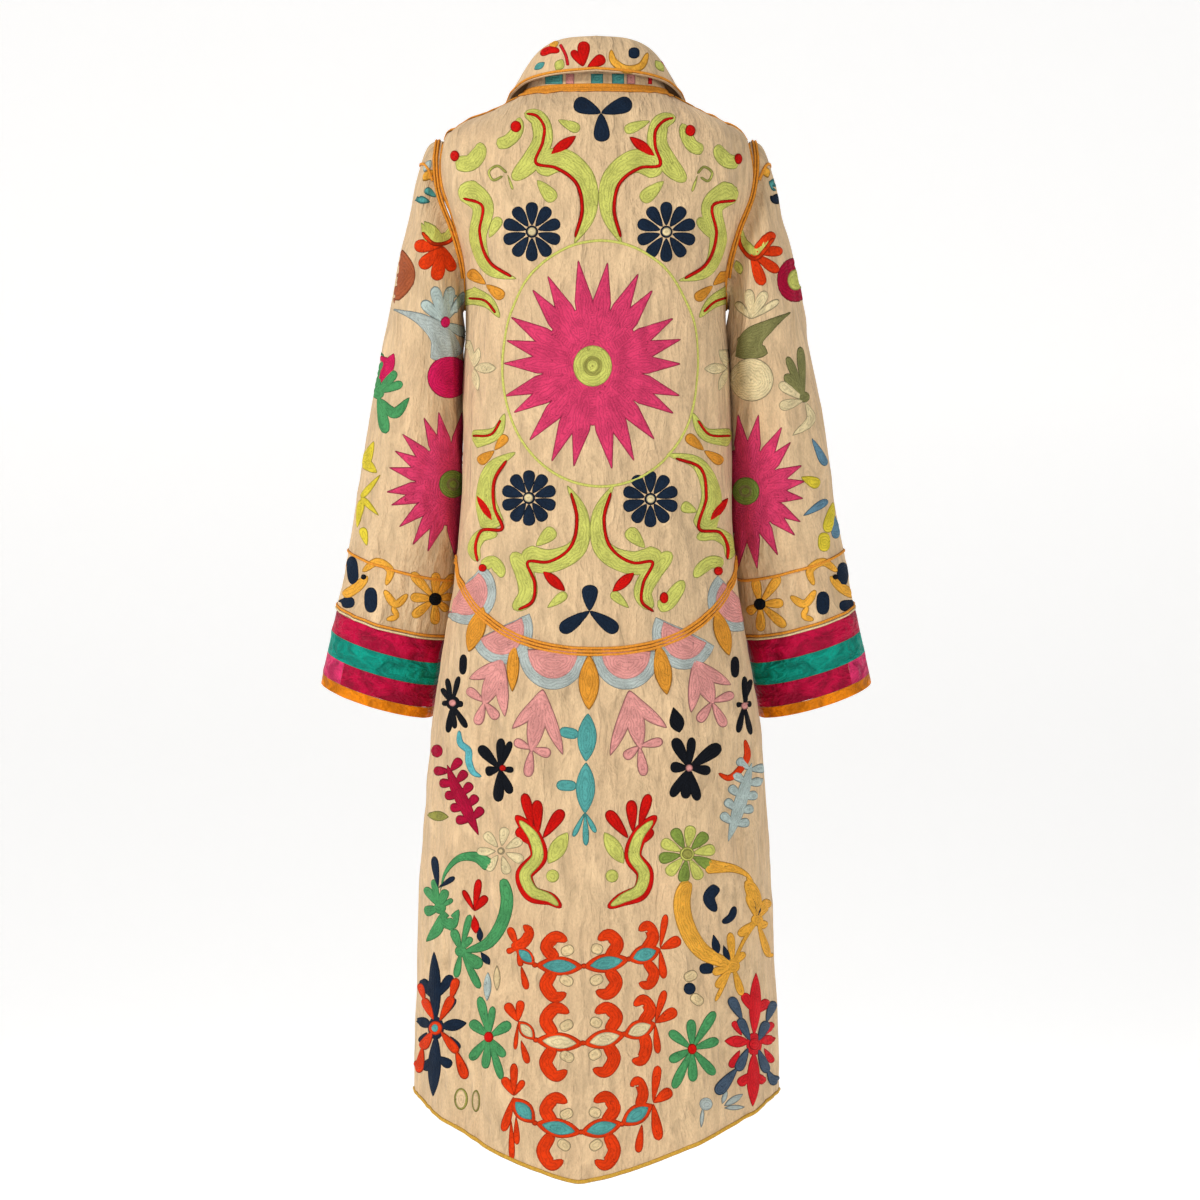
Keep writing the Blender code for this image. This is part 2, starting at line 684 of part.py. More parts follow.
def front_line(chart, side, first, last, count):
    """The front edge of one side, between two depths."""
    down = np.linspace(first, last, count)
    gap = FRONT_GAP_TOP + FRONT_GAP_SPREAD * np.clip(down / HEM_SIDE, 0, 1)
    return np.stack([side * (chart.across(math.pi, down) - gap), down], axis=1)


def hole_run(chart, first, last, count, side=1):
    """A stretch of the armhole's edge on the body."""
    angle, down = armhole(np.radians(np.linspace(first, last, count)))
    line = on_body(chart, angle, down)
    line[:, 0] *= side
    return line


HOLE_START = math.degrees(math.asin((SIDE_ANGLE - SHOULDER_ANGLE) / HOLE_TURN))
FALL_END = 0.985 * COLLAR_FALL


def mirrored(line):
    return line[::-1] * (-1, 1)


def build_back(body):
    """The two back pieces and the pipings round them."""
    neck = on_body(body, NECK_BACK_TURNS, NECK_DOWN)
    hole_top = armhole(math.radians(HOLE_START))[1]
    shoulder = on_body(body, SHOULDER_ANGLE, np.linspace(NECK_DOWN, hole_top, 6))
    hole = hole_run(body, HOLE_START, 180, 14)
    side = on_body(body, SIDE_ANGLE, np.linspace(HOLE_MIDDLE + HOLE_REACH, YOKE_SIDE, 8))
    turn = np.linspace(SIDE_ANGLE, 0, 15)
    yoke = on_body(body, turn, yoke_down(turn))
    right = np.concatenate([neck[:-1], shoulder[:-1], hole[:-1], side[:-1], yoke])
    outline = np.concatenate([right, mirrored(right)[1:-1]])
    rows = shoulder_rows(body, 0.01, SHOULDER_ANGLE, (-8, 14, 42, 78))
    creases = rows + [mirrored(row) for row in rows]
    panel("back_upper", body, outline, "sand", 20 * MM, 44 * MM, upper_back_applique(), creases)

    low_side = on_body(body, SIDE_ANGLE, np.linspace(YOKE_SIDE, HEM_SIDE, 14))
    whole_yoke = np.concatenate([yoke * (-1, 1), yoke[::-1][1:]])
    hem_turn = np.linspace(SIDE_ANGLE, -SIDE_ANGLE, 43)
    hem = on_body(body, hem_turn, hem_down(hem_turn))
    outline = polyline(whole_yoke, low_side, hem, mirrored(low_side))
    creases = tuck_lines(YOKE_SIDE + 40 * MM, HEM_SIDE + HEM_BACK_DROP)
    panel("back_lower", body, outline, "sand", 20 * MM, 60 * MM, lower_back_applique(), creases)

    piping("piping_yoke", body, whole_yoke, "orange", 4.6 * MM, 2.0 * MM, lift=0.8 * MM)
    piping("piping_hem_back", body, hem[1:-1] - (0, 3.2 * MM), "gold", 2.0 * MM, 1.2 * MM, lift=1.1 * MM)
    whole_neck = np.concatenate([mirrored(neck)[:-1], neck]) + (0, 4.2 * MM)
    piping("piping_neck", body, whole_neck[1:-1], "orange", 3.0 * MM, 1.4 * MM, lift=0.7 * MM)
    for side_sign, label in ((-1, "left"), (1, "right")):
        line = shoulder[1:-1] * (side_sign, 1)
        piping("piping_shoulder_" + label, body, line, "orange", 3.4 * MM, 1.5 * MM)


def tuck_lines(first, last):
    """Lines along the edge of the pressed tuck, so that the wall bends there and nowhere else."""
    lines = []
    top, hem, starts, outer = (FOLDS[name][0] for name in ("across_top", "across_hem", "starts", "outer_width"))
    down = np.linspace(max(first, starts), last, 14)
    edge = top + (hem - top) * (down - starts) / (HEM_SIDE + HEM_BACK_DROP - starts)
    for offset in (8 * MM, 0, -outer / 2, -outer, -outer - 8 * MM):
        lines.append(np.stack([edge + offset, down], axis=1))
    return lines


def shoulder_rows(body, first, last, downs):
    """Rows across the cloth near the shoulders, where it bends both ways."""
    return [on_body(body, np.linspace(first, last, 12), down * MM) for down in downs]


def build_fronts(body):
    """The two fronts, edge to edge, with a bound edge and hem."""
    for side, label in ((-1, "left"), (1, "right")):
        neck = on_body(body, NECK_FRONT_TURNS, NECK_DOWN)
        front = front_line(body, 1, NECK_DOWN, HEM_SIDE + HEM_FRONT_DROP, 27)
        turn = np.linspace(math.radians(177), SIDE_ANGLE, 14)
        hem = on_body(body, turn, hem_down(turn))
        low_side = on_body(body, SIDE_ANGLE, np.linspace(HEM_SIDE, HOLE_MIDDLE + HOLE_REACH, 21))
        hole = hole_run(body, 180, 360 + HOLE_START, 16)
        hole_top = armhole(math.radians(HOLE_START))[1]
        shoulder = on_body(body, SHOULDER_ANGLE, np.linspace(hole_top, NECK_DOWN, 6))
        outline = polyline(neck[:-1], front, hem[1:], low_side, hole, shoulder) * (side, 1)
        rows = shoulder_rows(body, SHOULDER_ANGLE, math.pi, (-10, 10, 30, 52, 80))
        rows = [row * (side, 1) for row in rows]
        panel("front_" + label, body, outline, "sand", 25 * MM, 52 * MM, front_applique(side), rows)
        edge = front[1:-1] * (side, 1) - (side * 3.2 * MM, 0)
        piping("piping_front_" + label, body, edge, "gold", 2.0 * MM, 1.2 * MM)
        line = hem[1:-1] * (side, 1) - (0, 3.2 * MM)
        piping("piping_hem_" + label, body, line, "gold", 2.0 * MM, 1.2 * MM)


def cap_along(angle):
    """How far down the sleeve the cap's seam lies."""
    return CAP_REACH * np.clip(1 - (angle / CAP_ANGLE) ** 2, 0, 1)


def tube_piece(name, chart, colour, start, end, steps, along_step, shapes=(), first=-180, last=180):
    """A strip round the sleeve between two depths, closed by a seam on the inner line."""
    angles = np.radians(np.linspace(first, last, steps))
    top = np.stack([chart.across(angles, start), np.broadcast_to(start, angles.shape)], axis=1)
    low = np.stack([chart.across(angles, end), np.broadcast_to(end, angles.shape)], axis=1)
    rows = max(2, round((end - start) / along_step) + 1)
    down = np.linspace(start, end, rows)
    runs = [
        np.stack([chart.across(np.full(rows, turn), down), down], axis=1)
        for turn in (math.radians(last), math.radians(first))
    ]
    outline = polyline(top, runs[0], low[::-1], runs[1][::-1])
    panel(name, chart, outline, colour, 21 * MM, along_step, shapes)


def build_sleeve(side, label):
    """A sleeve with its cap, band and striped cuff."""
    chart = Chart(sleeve_ring(side), 0, CUFF_END)
    turns = np.radians(np.linspace(-180, 180, 25))
    seam_turns = np.linspace(-CAP_ANGLE, CAP_ANGLE, 19)
    seam_along = cap_along(seam_turns)
    seam = np.stack([chart.across(seam_turns, seam_along), seam_along], axis=1)
    hole_along = np.zeros(len(seam_turns))
    hole = np.stack([chart.across(seam_turns, hole_along), hole_along], axis=1)
    round_lines = []
    for along in (5.5 * MM, 14 * MM, 25 * MM):
        ends = np.full(len(turns), along)
        round_lines.append(np.stack([chart.across(turns, ends), ends], axis=1))
    cap_outline = np.concatenate([hole, seam[::-1][1:-1]])
    panel("shoulder_cap_" + label, chart, cap_outline, "sand", 16 * MM, 16 * MM, (), round_lines)

    outer_turns = np.concatenate([turns[turns < -CAP_ANGLE - 0.02], seam_turns, turns[turns > CAP_ANGLE + 0.02]])
    top_along = cap_along(outer_turns)
    top = np.stack([chart.across(outer_turns, top_along), top_along], axis=1)
    down = np.linspace(0, SLEEVE_SEAM, 13)
    last = np.stack([chart.across(np.full(13, math.pi), down), down], axis=1)
    first = np.stack([chart.across(np.full(13, -math.pi), down), down], axis=1)
    ends = np.full(len(turns), SLEEVE_SEAM)
    low = np.stack([chart.across(turns, ends), ends], axis=1)
    outline = polyline(top, last, low[::-1], first[::-1])
    panel("sleeve_" + label, chart, outline, "sand", 21 * MM, 42 * MM, sleeve_applique(), round_lines)

    tube_piece("sleeve_band_" + label, chart, "sand", SLEEVE_SEAM, BAND_SEAM, 25, 34 * MM)
    tube_piece("cuff_upper_" + label, chart, "magenta", BAND_SEAM, TEAL_SEAM, 25, 25 * MM)
    tube_piece("cuff_teal_" + label, chart, "teal", TEAL_SEAM, LOWER_SEAM, 25, 25 * MM)
    patch = np.degrees(np.interp(PATCH_REACH, chart.arc[-10], chart.angles))
    tube_piece("cuff_pink_" + label, chart, "pink", LOWER_SEAM, BINDING_SEAM, 7, 24 * MM, (), -patch, patch)
    cuff_lower(chart, label, patch)
    tube_piece("cuff_binding_" + label, chart, "orange", BINDING_SEAM, CUFF_END, 25, 12 * MM)

    loop = turns[:-1]
    over = outer_turns[np.abs(outer_turns) < math.radians(130)]
    at = np.full(len(over), 5.5 * MM)
    line = np.stack([chart.across(over, at), at], axis=1)
    piping("piping_armhole_" + label, chart, line, "orange", 2.8 * MM, 1.5 * MM, lift=1.3 * MM)
    for name, along, half, high, lift in (
        ("piping_sleeve_", SLEEVE_SEAM, 1.8 * MM, 1.2 * MM, 0.9 * MM),
        ("piping_cuff_", BAND_SEAM - 2.6 * MM, 3.0 * MM, 1.3 * MM, 0.9 * MM),
    ):
        at = np.full(len(loop), along)
        ring = np.stack([chart.across(loop, at), at], axis=1)
        piping(name + label, chart, ring, "orange", half, high, closed=True, lift=lift)
    piping("piping_cap_" + label, chart, seam[3:-3], "orange", 1.8 * MM, 1.4 * MM, lift=0.8 * MM)


def cuff_lower(chart, label, patch):
    """The lower magenta strip, which runs round the inner side from one edge of the pink patch to the other."""
    inner_patch = 360 - patch
    angles = np.linspace(patch, inner_patch, 17)
    rows = []
    for along in (LOWER_SEAM, BINDING_SEAM):
        whole = chart.across(np.full(1, math.pi), np.full(1, along))[0] * 2
        turned = np.radians(np.where(angles > 180, angles - 360, angles))
        across = chart.across(turned, np.full(len(angles), along))
        rows.append(np.stack([np.where(angles > 180, across + whole, across), np.full(len(angles), along)], axis=1))
    wrapped = WrappedChart(chart)
    outline = np.concatenate([rows[0], rows[1][::-1]])
    panel("cuff_lower_" + label, wrapped, outline, "magenta", 21 * MM, 30 * MM)


class WrappedChart:
    """A chart whose across goes on past the seam, for a piece that lies over it."""

    def __init__(self, chart):
        self.chart = chart

    def wrap(self, across, along):
        half = self.chart.across(np.full(np.shape(along), math.pi), along)
        return np.where(across > half, across - 2 * half, across)

    def point(self, across, along):
        return self.chart.point(self.wrap(across, along), along)

    def normal(self, across, along):
        return self.chart.normal(self.wrap(across, along), along)


def build_collar():
    """The stand and the turned-down fall."""
    stand = Chart(stand_ring, 0, COLLAR_STAND, even=True)
    fall = Chart(fall_ring, 0, COLLAR_FALL, even=True)
    for name, chart, last, gap, bends in (
        ("collar_stand", stand, COLLAR_STAND, 3.6 * MM, (27 * MM,)),
        ("collar_fall", fall, FALL_END, 1.2 * MM, (5 * MM, 12 * MM, 25 * MM)),
    ):
        rows = np.linspace(0, last, 5)
        half_turns = np.concatenate([NECK_BACK_TURNS[:-1], NECK_FRONT_TURNS[:-1]])
        turns = np.concatenate([-half_turns[:0:-1], half_turns])
        edge = chart.across(np.full(5, math.pi), rows) - gap
        top = np.stack([chart.across(turns, np.zeros(len(turns))), np.zeros(len(turns))], axis=1)
        low = np.stack([chart.across(turns, np.full(len(turns), last)), np.full(len(turns), last)], axis=1)
        right = np.stack([edge, rows], axis=1)
        left = right * (-1, 1)
        outline = np.concatenate([top, right, low[::-1], left[::-1]])
        creases = []
        for along in bends:
            ends = np.full(len(turns), along)
            creases.append(np.stack([chart.across(turns, ends), ends], axis=1))
        panel(name, chart, outline, "sand", 24 * MM, 24 * MM, (), creases)
    at = np.full(len(turns), FALL_END - 3.4 * MM)
    line = np.stack([fall.across(turns, at), at], axis=1)
    piping("piping_collar", fall, line, "orange", 2.0 * MM, 1.2 * MM, lift=0.9 * MM)


def main():
    for old in list(bpy.data.objects):
        bpy.data.objects.remove(old)
    body = Chart(body_ring, BODY["down"][0], BODY["down"][-1], body_folds)
    build_back(body)
    build_fronts(body)
    for side, label in ((-1, "left"), (1, "right")):
        build_sleeve(side, label)
    build_collar()


main()
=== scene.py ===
"""Looks of a long quilted cotton coat with applique, built round its solids.

Metres, +Z up. The back of the coat faces -Y, and the camera looks at the back from there.
The cloth is drawn on charts, as in the solids. A chart is a surface that is read by metres across and
metres along it. A finished surface is a chart with its folds and puckers. Every panel, flower and cord
lies on one of these surfaces.
"""

import math

import bpy
import numpy as np
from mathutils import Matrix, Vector
from mathutils.geometry import delaunay_2d_cdt


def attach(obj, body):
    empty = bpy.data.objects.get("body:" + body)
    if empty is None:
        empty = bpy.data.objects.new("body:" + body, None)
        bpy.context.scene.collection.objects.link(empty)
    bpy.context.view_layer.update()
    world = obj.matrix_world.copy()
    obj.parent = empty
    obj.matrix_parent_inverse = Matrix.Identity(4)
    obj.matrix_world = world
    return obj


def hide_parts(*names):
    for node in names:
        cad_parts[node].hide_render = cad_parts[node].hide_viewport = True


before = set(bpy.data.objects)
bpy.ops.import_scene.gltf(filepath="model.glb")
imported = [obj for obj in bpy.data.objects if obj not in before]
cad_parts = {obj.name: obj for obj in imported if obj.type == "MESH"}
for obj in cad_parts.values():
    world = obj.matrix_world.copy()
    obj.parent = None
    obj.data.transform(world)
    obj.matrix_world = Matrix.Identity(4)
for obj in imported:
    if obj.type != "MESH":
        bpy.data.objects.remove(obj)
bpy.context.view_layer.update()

MM = 0.001

# Cloth
WALL = 2.4 * MM  # quilted cotton and its backing, as one wall of the solids
CLOTH = 2.2 * MM  # the same cloth in the visual model
SEAM = 0.3 * MM
NECK_DOWN = -27 * MM  # the neckline, above the shoulder line at the centre of the back
SHOULDER_ANGLE = math.radians(86)  # the shoulder seam lies a little behind the top of the shoulder
SIDE_ANGLE = math.radians(90)
YOKE_CENTRE, YOKE_SIDE = 583 * MM, 483 * MM  # depth of the curved back seam at the centre and at the sides
HEM_SIDE, HEM_BACK_DROP, HEM_FRONT_DROP = 1067 * MM, 79 * MM, 40 * MM
HEM_LOWEST = -0.09  # where across the back the hem hangs lowest, as a share of the half width
FRONT_GAP_TOP, FRONT_GAP_SPREAD = 4 * MM, 14 * MM  # half the gap between the fronts, and how it opens
HOLE_MIDDLE, HOLE_REACH = 123 * MM, 85 * MM  # the armhole's depth below the shoulder, and half its height
HOLE_TURN = math.radians(15.3)  # half the angle that the armhole takes of the body
HOLE_BLEND = 50 * MM  # the sleeve takes its own section over this length
CAP_ANGLE, CAP_REACH = math.radians(74), 30 * MM  # where the cap seam leaves the armhole, and its reach
SLEEVE_SEAM, BAND_SEAM, TEAL_SEAM, LOWER_SEAM, BINDING_SEAM, CUFF_END = (
    v * MM for v in (383, 449.5, 474, 498.5, 523, 535)
)
PATCH_REACH = 48 * MM  # half the width of the pink patch, each side of the sleeve's outer line
COLLAR_STAND, COLLAR_FALL = 55 * MM, 46 * MM
NECK_END_ANGLE = math.radians(176.5)  # the neckline and the collar end this far round from the back's centre
HEM_END_ANGLE = math.radians(177)


def table(columns, rows, plain=()):
    """A table with named columns. Sizes are written in millimetres, and the plain columns have no unit."""
    values = np.array(rows, float)
    return {
        name: values[:, i] * (1 if name in plain else MM)
        for i, name in enumerate(columns.split())
    }


# Sections of the body, from the neckline to below the hem.
# down is the depth at the centre of the back, side and front are the heights of the same ring there.
BODY = table(
    "down side front half_width back_depth front_depth squareness",
    [
        (-27, 28, -52, 79, 62, 74, 2.0),
        (-12, 14, -61, 105, 80, 88, 2.1),
        (8, -1, -72, 137, 95, 100, 2.3),
        (30, -17, -85, 163, 105, 109, 2.5),
        (52, -38, -100, 171, 112, 115, 2.6),
        (90, -84, -124, 171, 118, 122, 2.6),
        (130, -128, -150, 156, 121, 126, 2.6),
        (170, -169, -180, 145, 122, 128, 2.6),
        (210, -210, -214, 142, 121, 127, 2.5),
        (260, -260, -261, 145, 119, 122, 2.4),
        (360, -360, -360, 147, 114, 116, 2.3),
        (430, -430, -430, 149, 114, 114, 2.3),
        (484, -484, -484, 152.6, 118, 114, 2.3),
        (528, -528, -528, 158, 122, 116, 2.3),
        (572, -572, -572, 164.8, 126, 119, 2.3),
        (616, -616, -616, 172, 130, 122, 2.3),
        (660, -660, -660, 178, 133, 125, 2.3),
        (748, -748, -748, 185, 137, 128, 2.2),
        (858, -858, -858, 191, 141, 132, 2.2),
        (968, -968, -968, 195, 144, 135, 2.2),
        (1067, -1067, -1067, 197, 146, 137, 2.2),
        (1200, -1200, -1200, 199, 148, 139, 2.2),
    ],
    plain=("squareness",),
)
# Sections of a sleeve, from the armhole to the cuff. Each is a ring between an inner and an outer point.
# back_drop is how much lower the ring is at the back, because the sleeve leans forward.
SLEEVE = table(
    "along inner_x inner_z outer_x outer_z half_depth centre_y back_drop",
    [
        (0, 142, -208, 168, -23, 38, 0, 0),
        (9, 143, -211, 172, -33, 48, 0, 0),
        (24, 144, -216, 183, -55, 58, 0, 0),
        (40, 145, -224, 197, -79, 64, 0, 1),
        (63, 145, -236, 206, -111, 68, 2, 2),
        (90, 145, -252, 215, -145, 70, 4, 3),
        (126, 146, -270, 225, -198, 70, 8, 4),
        (171, 147, -305, 235, -253, 68, 13, 5),
        (222, 148, -350, 247, -308, 65, 19, 6),
        (275, 149, -400, 256, -363, 62, 25, 7),
        (329, 151, -452, 264, -418, 58, 31, 8),
        (383, 156, -504, 274, -473, 55, 38, 9),
        (440, 164, -560, 286, -528, 53, 45, 10),
        (489, 172, -610, 297, -575, 52, 52, 10),
        (540, 182, -661, 308, -624, 51, 58, 10),
    ],
)
# The folds of the body. Each runs down the cloth from (across_top, starts) to (across_hem) at the hem.
# height is positive for a ridge and negative for a trough, and it grows from starts to full.
# inner_width is its reach towards the centre, outer_width away from it: unequal ones make a tuck's edge.
FOLDS = table(
    "across_top across_hem starts full height inner_width outer_width",
    [
        (-92, -118, 552, 700, 7.0, 75, 15),
        (84, 112, 520, 760, 4.5, 36, 50),
        (-14, -30, 620, 900, 2.6, 44, 44),
        (-170, -190, 560, 900, 3.0, 44, 44),
        (176, 200, 560, 900, 3.2, 44, 44),
        (-262, -276, 420, 900, 3.6, 46, 46),
        (262, 284, 420, 900, 3.6, 46, 46),
        (-350, -368, 480, 900, 3.2, 44, 44),
        (346, 372, 480, 900, 3.2, 44, 44),
        (-128, -122, 60, 130, -3.6, 26, 20),
        (128, 122, 60, 130, -3.6, 26, 20),
    ],
)
ARMPIT_FOLDS_END = 230 * MM  # the last two folds fade out here, below the armpit
# The collar's outer edge. ring is the body ring that it stands over, out and up are its distances from it.
COLLAR_EDGE = table(
    "angle ring out up",
    [
        (0, -27, 14, 15),
        (45, -27, 11, 10),
        (90, -20, 4, 5),
        (135, 8, 7, 4),
        (180, 42, 8, 4),
    ],
    plain=("angle",),
)
COLLAR_POINT_ANGLE = math.radians(158)  # the collar's points stand this far round the neck
FOLD_LINE = table(
    "angle x y z",
    [
        (0, 0, -51, 82),
        (30, 34, -45, 80),
        (60, 56, -26, 73),
        (90, 65, 4, 60),
        (120, 58, 36, 40),
        (150, 34, 58, 16),
        (180, 3, 68, -2),
    ],
    plain=("angle",),
)


def spline(at, knots, values):
    """A smooth curve through the values at increasing knots, read at an array of places."""
    at = np.clip(at, knots[0], knots[-1])
    i = np.clip(np.searchsorted(knots, at, side="right") - 1, 0, len(knots) - 2)
    step = np.diff(knots)
    rise = np.diff(values) / step
    slope = np.empty(len(knots))
    slope[1:-1] = (rise[:-1] * step[1:] + rise[1:] * step[:-1]) / (step[:-1] + step[1:])
    slope[0], slope[-1] = rise[0], rise[-1]
    t = (at - knots[i]) / step[i]
    return (
        values[i] * (2 * t**3 - 3 * t**2 + 1)
        + values[i + 1] * (3 * t**2 - 2 * t**3)
        + slope[i] * step[i] * (t**3 - 2 * t**2 + t)
        + slope[i + 1] * step[i] * (t**3 - t**2)
    )


def ease(t):
    """0 below 0, 1 above 1, and a smooth step between."""
    t = np.clip(t, 0, 1)
    return t * t * (3 - 2 * t)


def body_ring(angle, down):
    """The body with no folds. Angle 0 is the centre of the back."""
    side, front, width, back, chest, square = (
        spline(down, BODY["down"], BODY[name])
        for name in ("side", "front", "half_width", "back_depth", "front_depth", "squareness")
    )
    c, s = np.cos(angle), np.sin(angle)
    power = 2 / square
    x = width * np.sign(s) * np.abs(s) ** power
    y = -np.where(c > 0, back, chest) * np.sign(c) * np.abs(c) ** power
    z = side + (np.where(c > 0, -down, front) - side) * np.abs(c) ** 1.3
    return np.stack(np.broadcast_arrays(x, y, z), axis=-1)


def body_folds(across, down):
    """How far the folds push the body's cloth outwards."""
    out = np.zeros(np.broadcast(across, down).shape)
    for top, hem, starts, full, height, inner, outer in zip(*FOLDS.values()):
        share = np.clip((down - starts) / (HEM_SIDE + HEM_BACK_DROP - starts), 0, 1)
        offset = (across - top - (hem - top) * share) * np.sign(top)
        width = np.where(offset < 0, inner, outer)
        grown = ease((down - starts) / (full - starts))
        if full < ARMPIT_FOLDS_END:
            grown = grown * (1 - ease((down - full) / (ARMPIT_FOLDS_END - full)))
        out += height * grown * (1 - ease(np.abs(offset) / width))
    return out


def armhole(angle):
    """The right armhole's edge on the body. Angle 0 is at the shoulder, and a quarter turn is at the back."""
    turned = SIDE_ANGLE - HOLE_TURN * np.sin(angle)
    return turned, HOLE_MIDDLE - HOLE_REACH * np.cos(angle)


def sleeve_ring(side):
    """The right sleeve for side 1, the left one for side -1. Angle 0 is the outer line."""

    def ring(angle, along):
        inner_x, inner_z, outer_x, outer_z, depth, centre_y, drop = (
            spline(along, SLEEVE["along"], SLEEVE[name]) for name in list(SLEEVE)[1:]
        )
        c, s = np.cos(angle), np.sin(angle)
        x = (outer_x + inner_x) / 2 + (outer_x - inner_x) / 2 * c
        y = centre_y - depth * s
        z = (outer_z + inner_z) / 2 + (outer_z - inner_z) / 2 * c - drop * s
        tube = np.stack(np.broadcast_arrays(x, y, z), axis=-1)
        hole = body_ring(*armhole(angle))
        hole = np.broadcast_to(hole, tube.shape).copy()
        hole[..., 0] += SEAM * 1.5 + along * (0.65 + 0.35 * c)
        share = ease(along / HOLE_BLEND)[..., None]
        point = hole * (1 - share) + tube * share
        point[..., 0] *= side
        return point

    return ring


def neck_ring(angle):
    """The line on which the collar stands, just inside the neckline and above it."""
    point = body_ring(angle, np.full_like(angle, NECK_DOWN))
    out = point * (1, 1, 0)
    out /= np.linalg.norm(out, axis=-1, keepdims=True)
    return point - out * SEAM + (0, 0, 1.3 * MM)


def fold_line(angle):
    """The collar's top fold."""
    turn = np.degrees(np.abs(angle))
    x, y, z = (spline(turn, FOLD_LINE["angle"], FOLD_LINE[name]) for name in "xyz")
    return np.stack(np.broadcast_arrays(x * np.sign(angle), y, z), axis=-1)


def collar_edge(angle):
    """The outer edge of the turned-down collar."""
    turn = np.degrees(np.abs(angle))
    ring, out, up = (spline(turn, COLLAR_EDGE["angle"], COLLAR_EDGE[name]) for name in ("ring", "out", "up"))
    far = ease((np.abs(angle) - math.radians(100)) / math.radians(80))
    turned = np.sign(angle) * (np.abs(angle) + (COLLAR_POINT_ANGLE - math.pi) * far)
    point = body_ring(turned, ring)
    away = point * (1, 1, 0)
    away /= np.linalg.norm(away, axis=-1, keepdims=True)
    return point + away * out[..., None] + np.stack(np.broadcast_arrays(0, 0, up), axis=-1)


def stand_ring(angle, along):
    """The collar's stand, from the neckline up to the fold."""
    share = (along / COLLAR_STAND)[..., None]
    angle = np.broadcast_to(angle, np.broadcast(angle, along).shape)
    return neck_ring(angle) * (1 - share) + fold_line(angle) * share


def fall_ring(angle, along):
    """The collar's fall, from the fold out and down to its edge."""
    t = (along / COLLAR_FALL)[..., None]
    angle = np.broadcast_to(angle, np.broadcast(angle, along).shape)
    top = fold_line(angle)
    away = (top - (0, 8 * MM, 0)) * (1, 1, 0)
    away /= np.linalg.norm(away, axis=-1, keepdims=True)
    run = fold_line(angle + 0.01) - fold_line(angle - 0.01)
    level = np.linalg.norm(run[..., :2], axis=-1) / np.linalg.norm(run, axis=-1)
    over = (WALL + 0.9 * MM + 2 * MM * ease((np.abs(angle) - math.radians(100)) / math.radians(50))) / level
    rise = np.stack([np.zeros_like(over), np.zeros_like(over), over], axis=-1)
    start = top - away * WALL + rise
    bend = top + away * 11 * MM + rise
    end = collar_edge(angle)
    return start * (1 - t) ** 2 + bend * 2 * t * (1 - t) + end * t**2


def steps_from(knots, at):
    """How many steps of evenly spaced knots lie before a place."""
    return (at - knots[0]) / (knots[1] - knots[0])


def between(values, row, column):
    """A value between the four nearest entries of a table."""
    row = np.clip(row, 0, values.shape[0] - 1.001)
    column = np.clip(column, 0, values.shape[1] - 1.001)
    i, j = row.astype(int), column.astype(int)
    u, v = row - i, column - j
    if values.ndim == 3:
        u, v = u[..., None], v[..., None]
    before = values[i, j] * (1 - v) + values[i, j + 1] * v
    after = values[i + 1, j] * (1 - v) + values[i + 1, j + 1] * v
    return before * (1 - u) + after * u


class Chart:
    """A surface made of rings, read by metres across it and metres along it."""

    def __init__(self, ring, first, last, reach=198, even=False):
        """Reach is how far round the rings are read, in degrees. An even chart measures on its mean ring."""
        self.ring = ring
        self.alongs = np.linspace(first, last, 161)
        self.angles = np.radians(np.linspace(-reach, reach, 4 * reach + 1))
        net = ring(self.angles[None, :], self.alongs[:, None])
        steps = np.linalg.norm(np.diff(net, axis=1), axis=2)
        arc = np.concatenate([np.zeros((len(net), 1)), np.cumsum(steps, axis=1)], axis=1)
        if even:
            arc = np.repeat(arc.mean(axis=0)[None], len(arc), axis=0)
        self.arc = arc - arc[:, len(self.angles) // 2, None]
        self.acrosses = np.linspace(self.arc.min(), self.arc.max(), 1201)
        self.angle_table = np.array([np.interp(self.acrosses, row, self.angles) for row in self.arc])
        self.middle = net[80].mean(axis=0)

    def read(self, values, columns, column, along):
        """A value of a table whose rows are the chart's alongs."""
        return between(values, steps_from(self.alongs, along), steps_from(columns, column))

    def across(self, angle, along):
        """Metres across at an angle."""
        angle, along = np.broadcast_arrays(np.asarray(angle, float), np.asarray(along, float))
        return self.read(self.arc, self.angles, angle, along)

    def smooth(self, across, along):
        return self.ring(self.read(self.angle_table, self.acrosses, across, along), along)


# The camera, level and straight behind the coat
CAMERA_AT = (4.4 * MM, -4.0, -0.528)
PHOTO_WIDTH = 1.32  # metres seen across the photo at the middle of the coat
PHOTO_PIXELS = 1200


def on_photo(points):
    """Where points are seen on the photo, in pixels."""
    near = -CAMERA_AT[1] / (points[..., 1] - CAMERA_AT[1])
    scale = near * PHOTO_PIXELS / PHOTO_WIDTH
    px = PHOTO_PIXELS / 2 + (points[..., 0] - CAMERA_AT[0]) * scale
    py = PHOTO_PIXELS / 2 - (points[..., 2] - CAMERA_AT[2]) * scale
    return np.stack([px, py], axis=-1)


SHOWN_TURNS = (math.radians(-120), math.radians(176))  # the camera sees no cloth turned further than this
FACING = -0.04  # cloth that faces the camera less than this, as a cosine, isn't searched
REACH_FROM_SHOWN = 16 * MM  # a place further than this from the nearest shown one is on the hidden side


